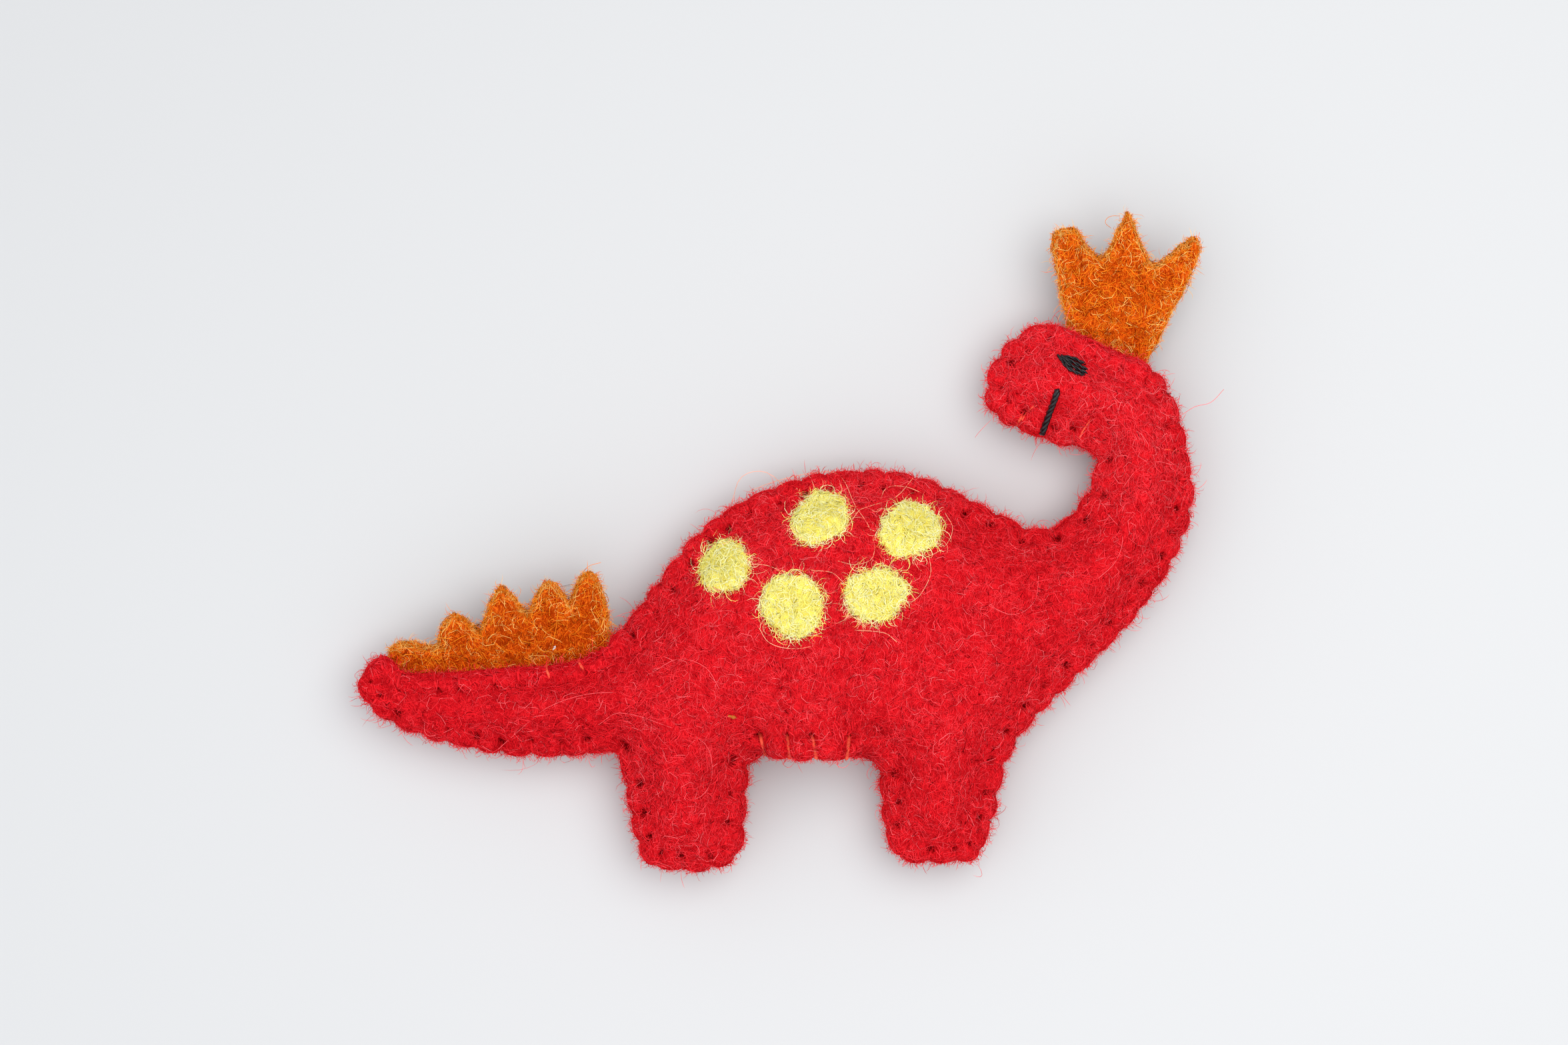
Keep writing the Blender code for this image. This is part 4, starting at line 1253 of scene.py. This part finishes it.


# Front fuzz: how many fibres, their tones from deep to pale, and which places on the panel. The head's
# tones are brighter and the tail's deeper: painted light, as if lit from the head's side.
FRONT_FUZZ = {
    "belly_fuzz": (8400, (0.20, 0.44, 0.31, 0.05), lambda p: (p[:, 0] > 36) * (p[:, 0] < 66)),
    "chest_fuzz": (10900, (0.23, 0.46, 0.27, 0.04), lambda p: (p[:, 0] >= 66) * (p[:, 1] < 50)),
    "tail_fuzz": (2800, (0.34, 0.46, 0.17, 0.03), lambda p: p[:, 0] <= 36),
    "head_fuzz": (3900, (0.07, 0.36, 0.49, 0.08), lambda p: (p[:, 0] >= 66) * (p[:, 1] >= 50)),
}
red_tones = shared(0.20, 0.44, 0.31, 0.05)
pale_tones = shared(0.1, 0.2, 0.3, 0.4)
front_face, back_face, rim = outer_face(1, False), outer_face(-1, False), outer_face(1, True)
front_tree, back_tree = tree_of([front_shape]), tree_of([back_shape])
for name, (count, shares, zone) in FRONT_FUZZ.items():
    face_fuzz(
        name, front_shape, front_tree, count, shared(*shares), RED_TONES,
        lambda p, n, zone=zone: front_face(p, n) * zone(p),
    )
face_fuzz("back_fuzz", back_shape, back_tree, BACK_FIBRES, red_tones, RED_TONES, back_face)
panels = joined([front_shape, back_shape])
rim_fuzz("edge_fuzz", panels, EDGE_FIBRES, red_tones, RED_TONES, rim, out_from_edge)
rim_fuzz("stray_hairs", panels, STRAY_HAIRS, pale_tones, RED_TONES, rim, out_from_edge, 3.0, 7)

# Trim fuzz
# Painted glow: only bright and pale fibre tones, for the trims' edges
painted_glow_tones = shared(0.0, 0.24, 0.46, 0.30)


def brighter_at_edge(shape, inner_tones):
    """Tones for fibres on a trim piece, with painted glow: the brightest near its cut edge."""
    walls = edge_walls(shape)[0]

    def choose(places):
        near = nearest(walls, places[:, :2])[1] < rng.gamma(3.0, 0.28, len(places))
        return np.where(near, painted_glow_tones(places), inner_tones(places))
    return choose


def shown_trim(places, normals):
    """Weights for the part of a trim piece outside the seam."""
    return (sampled(DEPTH, places[:, :2]) < 0.2).astype(float)


def trim_rim(places, normals):
    """Weights for the cut edges outside the seam."""
    return (np.abs(normals[:, 2]) < 0.8) * (sampled(DEPTH, places[:, :2]) < 0.0)


def edge_walls(shape):
    """The middles and normals of a trim piece's cut edges."""
    a, b, c = corners(shape)
    walls = levelness(shape) < 0.5
    return ((a + b + c) / 3)[walls], unit(np.cross(b - a, c - a))[walls]


def out_of_trim(shape):
    """A function that gives the way out from a trim piece's edge near each point."""
    middles, ways = edge_walls(shape)

    def outward(points):
        return ways[nearest(middles, points[:, :2])[0]]
    return outward


for name, shape, count, inner_tones in (
    ("crown", crown_shape, CROWN_FIBRES, shared(0.32, 0.42, 0.20, 0.06)),
    ("spikes", spikes_shape, SPIKES_FIBRES, shared(0.46, 0.36, 0.13, 0.05)),
):
    face_fuzz(
        name + "_fuzz", shape, tree_of([shape]), count, brighter_at_edge(shape, inner_tones),
        ORANGE_TONES, shown_trim,
    )
    # Fibres on the cut edges take only the painted-glow tones
    rim_fuzz(
        name + "_edge_fuzz", shape, CUT_EDGE_FIBRES, painted_glow_tones,
        ORANGE_TONES, trim_rim, out_of_trim(shape),
    )


# Spot fuzz
def spot_fuzz(name, panel, shapes, side, count, highest):
    """Curls of wool on each spot, and some that stray over its rim."""
    tree = tree_of([panel, *shapes])
    paths = []
    for shape, spot in zip(shapes, SPOTS):
        points, normals = scattered(shape, count, lambda c, n: n[:, 2] * side > 0.3)
        r = spot_radius(points[:, 0], points[:, 1], spot)
        push = 1.0 + rng.choice((0.0, 0.06, 0.16), count, p=(0.7, 0.2, 0.1)) * (r > 0.7)
        points[:, :2] = spot[:2] + (points[:, :2] - spot[:2]) * push[:, None]
        length = rng.gamma(6.0, 0.36, count) + 0.5
        paths.append(curls(points, normals, np.minimum(length, 4.0), rng.uniform(0.4, 1.5, count), 5))
    paths = np.concatenate(paths)
    lift = rng.gamma(1.6, 0.12, len(paths)) + 0.05
    paths, under = laid(paths, tree, np.minimum(lift, highest), -0.03)
    tones = tone_choice(len(paths), (0.25, 0.45, 0.30))
    widths = rng.uniform(0.06, 0.10, len(paths))
    curls_made = fibre_mesh(name, above_floor(paths), widths, tones, YELLOW_TONES, under.mean(1))
    return dress(curls_made)


spot_fuzz("front_spot_fuzz", front_shape, front_spots, 1, SPOT_FIBRES, 0.7)
spot_fuzz("back_spot_fuzz", back_shape, back_spots, -1, BACK_SPOT_FIBRES, 0.3)


def heights_under(tree, xy):
    """The height of what lies under each place, or under the last that has anything under it."""
    heights, last = [], 0.0
    for x, y in xy:
        hit = tree.ray_cast(Vector((x, y, 40.0)), Vector((0, 0, -1)))[0]
        last = hit.z if hit else last
        heights.append(last)
    return np.array(heights)


def rim_curls(name, count):
    """Loose curls round each front spot, the outermost over the red felt."""
    paths = []
    for spot in SPOTS:
        turn = rng.uniform(0, 2 * math.pi, count)
        r = rng.normal(0.99, 0.09, count)
        points = np.column_stack([*spot_places(spot, r, turn), np.full(count, 20.0)])
        up = np.broadcast_to((0.0, 0.0, 1.0), points.shape)
        length = np.minimum(rng.gamma(5.0, 0.5, count) + 0.8, 5.5)
        radius = np.maximum(rng.uniform(0.35, 1.3, count), length / 4.0)
        paths.append(curls(points, up, length, radius, 8))
    paths = np.concatenate(paths)
    tree = tree_of([front_shape, *front_spots])
    arch = np.sin(np.linspace(0, math.pi, 8))[None]
    lift = arch * rng.uniform(0.05, 0.5, (len(paths), 1)) + 0.02
    flat = paths[..., :2].reshape(-1, 2)
    paths[..., 2] = heights_under(tree, flat).reshape(lift.shape) + lift
    beyond = sampled(spot_field(0.0001), flat).reshape(lift.shape).mean(1) < 0.35
    tones = np.where(beyond & (rng.random(len(paths)) < 0.7), 3, rng.integers(1, 3, len(paths)))
    materials = [*YELLOW_TONES, PEACH_FIBRE]
    widths = rng.uniform(0.05, 0.085, len(paths))
    shade = np.broadcast_to((0.0, 0.0, 1.0), (len(paths), 3))
    return dress(fibre_mesh(name, paths, widths, tones, materials, shade))


rim_curls("spot_rim_curls", SPOT_RIM_CURLS)


def hairs(name, lines, tree, width, finish):
    """Single long hairs that follow what lies under them."""
    shapes = []
    for line in lines:
        path = smooth_line(line, closed=False)[::2]
        heights = np.pad(heights_under(tree, path) + 0.12, 2, mode="edge")
        heights = np.convolve(heights, np.full(5, 0.2), mode="valid")
        heights += 0.25 * np.sin(np.linspace(0, 3 * math.pi, len(heights))) ** 2
        shapes.append(tube(np.column_stack([path, heights]), width / 2, 3))
    return dress(lit_flat(new_object(name, *joined(shapes), [finish])))


everything = tree_of([front_shape, crown_shape, spikes_shape, *front_spots])
hairs("peach_hairs", PEACH_HAIRS, everything, 0.085, PEACH_FIBRE)
hairs("pale_hairs", PALE_HAIRS, everything, 0.075, RED_TONES[3])
hairs("amber_hairs", AMBER_HAIRS, everything, 0.08, ORANGE_TONES[2])


def fleck(name, bit, finish):
    """A small bit of chaff on the felt."""
    (x, y), length, slope, radius = bit
    u = np.linspace(-0.5, 0.5, 7)
    xy = np.column_stack([x + length * u * math.cos(slope), y + length * u * math.sin(slope)])
    high = heights_under(everything, xy) + 0.1
    radii = radius * np.sqrt(1.05 - (2 * u) ** 2) * (1 + 0.3 * np.sin(9 * u))
    return solid(name, tube(np.column_stack([xy, high]), radii, 7), finish)


fleck("straw_fleck", STRAW_FLECK, STRAW)
fleck("white_speck", WHITE_SPECK, SPECK)


# Stuffing
def wool_roll(node, strands):
    """A lumpy roll of loose wool in a plain roll's place, with curls on it."""
    form = bmesh.new()
    form.from_mesh(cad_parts[node].data)
    bmesh.ops.triangulate(form, faces=form.faces)
    bmesh.ops.subdivide_edges(form, edges=form.edges, cuts=1, use_grid_fill=True)
    bmesh.ops.triangulate(form, faces=form.faces)
    form.normal_update()
    verts = []
    for vert in form.verts:
        place = vert.co / MM
        dent = 0.16 + 0.14 * noise.noise(place * 0.9) + 0.08 * noise.noise(place * 2.3)
        verts.append(place - vert.normal * dent - Vector(CORNER))
    shape = np.array(verts), np.array([[v.index for v in face.verts] for face in form.faces])
    form.free()
    name = node.replace("stuffing", "wool")
    solid(name, shape, STUFFING, [node])
    face_fuzz(name + "_curls", shape, tree_of([shape]), strands, pale_tones, WOOL_TONES)


for part, strands in (("neck", 420), ("tail", 220), ("hind_leg", 130), ("fore_leg", 130)):
    wool_roll(f"{part}_stuffing", strands)


# Stage, camera and lights
FLOOR_REACH = 1.6
PAPER = (0.573, 0.575, 0.578, 1.0)
PHOTO_WIDTH = 2352
PHOTO_PX_PER_MM = 10.9
VIEW_CENTRE = (58.4, 47.7)
LENS = 105.0
SENSOR = 36.0
KEY_PLACE = (0.12, 0.06, 0.36)
KEY_SIZE = 0.4
KEY_POWER = 1.0
KEY_COLOUR = (1.0, 0.995, 0.985)
SKY_COLOUR = (0.95, 0.97, 1.0, 1.0)
SKY_RANGE = (0.50, 1.60)
AWAY_FROM_KEY = (-0.85, -0.53, 0.0)


def share_along(tree, vector, way):
    """How far places reach in a direction."""
    return add(tree, "VectorMath", {0: vector, 1: way}, operation="DOT_PRODUCT")["Value"]


def stage_floor():
    """White paper, a little darker towards the key light, so that it looks evenly lit."""
    finish, tree, shader = principled("floor paper", 0.9, 0.2)
    shade = mapped(tree, share_along(tree, place_in(tree), (0.2, 0.8, 0.0)), -0.18, 0.18, 1.13, 0.87)
    tree.links.new(multiplied(tree, PAPER, shade), shader["Base Color"])
    mesh = bpy.data.meshes.new("floor")
    square = [(x * FLOOR_REACH, y * FLOOR_REACH, 0) for x, y in ((-1, -1), (1, -1), (1, 1), (-1, 1))]
    mesh.from_pydata(square, [], [(0, 1, 2, 3)])
    mesh.materials.append(finish)
    floor = in_scene("floor", mesh)


def camera():
    """A camera straight above, as far off as its lens needs for the photo's width."""
    data = bpy.data.cameras.new("camera")
    data.lens = LENS
    data.sensor_width = SENSOR
    data.clip_start = 0.01
    made = in_scene("camera", data)
    distance = PHOTO_WIDTH / PHOTO_PX_PER_MM * LENS / SENSOR
    made.location = (Vector((*VIEW_CENTRE, distance)) + Vector(CORNER)) * MM
    bpy.context.scene.camera = made


def key_light():
    data = bpy.data.lights.new("key", "AREA")
    data.shape = "DISK"
    data.size = KEY_SIZE
    data.energy = KEY_POWER
    data.color = KEY_COLOUR
    made = in_scene("key", data)
    made.location = KEY_PLACE
    made.rotation_euler = (-Vector(KEY_PLACE)).to_track_quat("-Z", "Y").to_euler()


def sky():
    """Light from all round, stronger on the side away from the key, so that slopes match."""
    world = bpy.data.worlds.new("studio")
    world.use_nodes = True
    tree = world.node_tree
    toward = add(tree, "TexCoord", {})["Generated"]
    strength = mapped(tree, share_along(tree, toward, AWAY_FROM_KEY), -1.0, 1.0, *SKY_RANGE)
    background = tree.nodes["Background"].inputs
    background["Color"].default_value = SKY_COLOUR
    tree.links.new(strength, background["Strength"])
    bpy.context.scene.world = world


stage_floor()
camera()
key_light()
sky()
bpy.context.scene.view_settings.view_transform = "Standard"
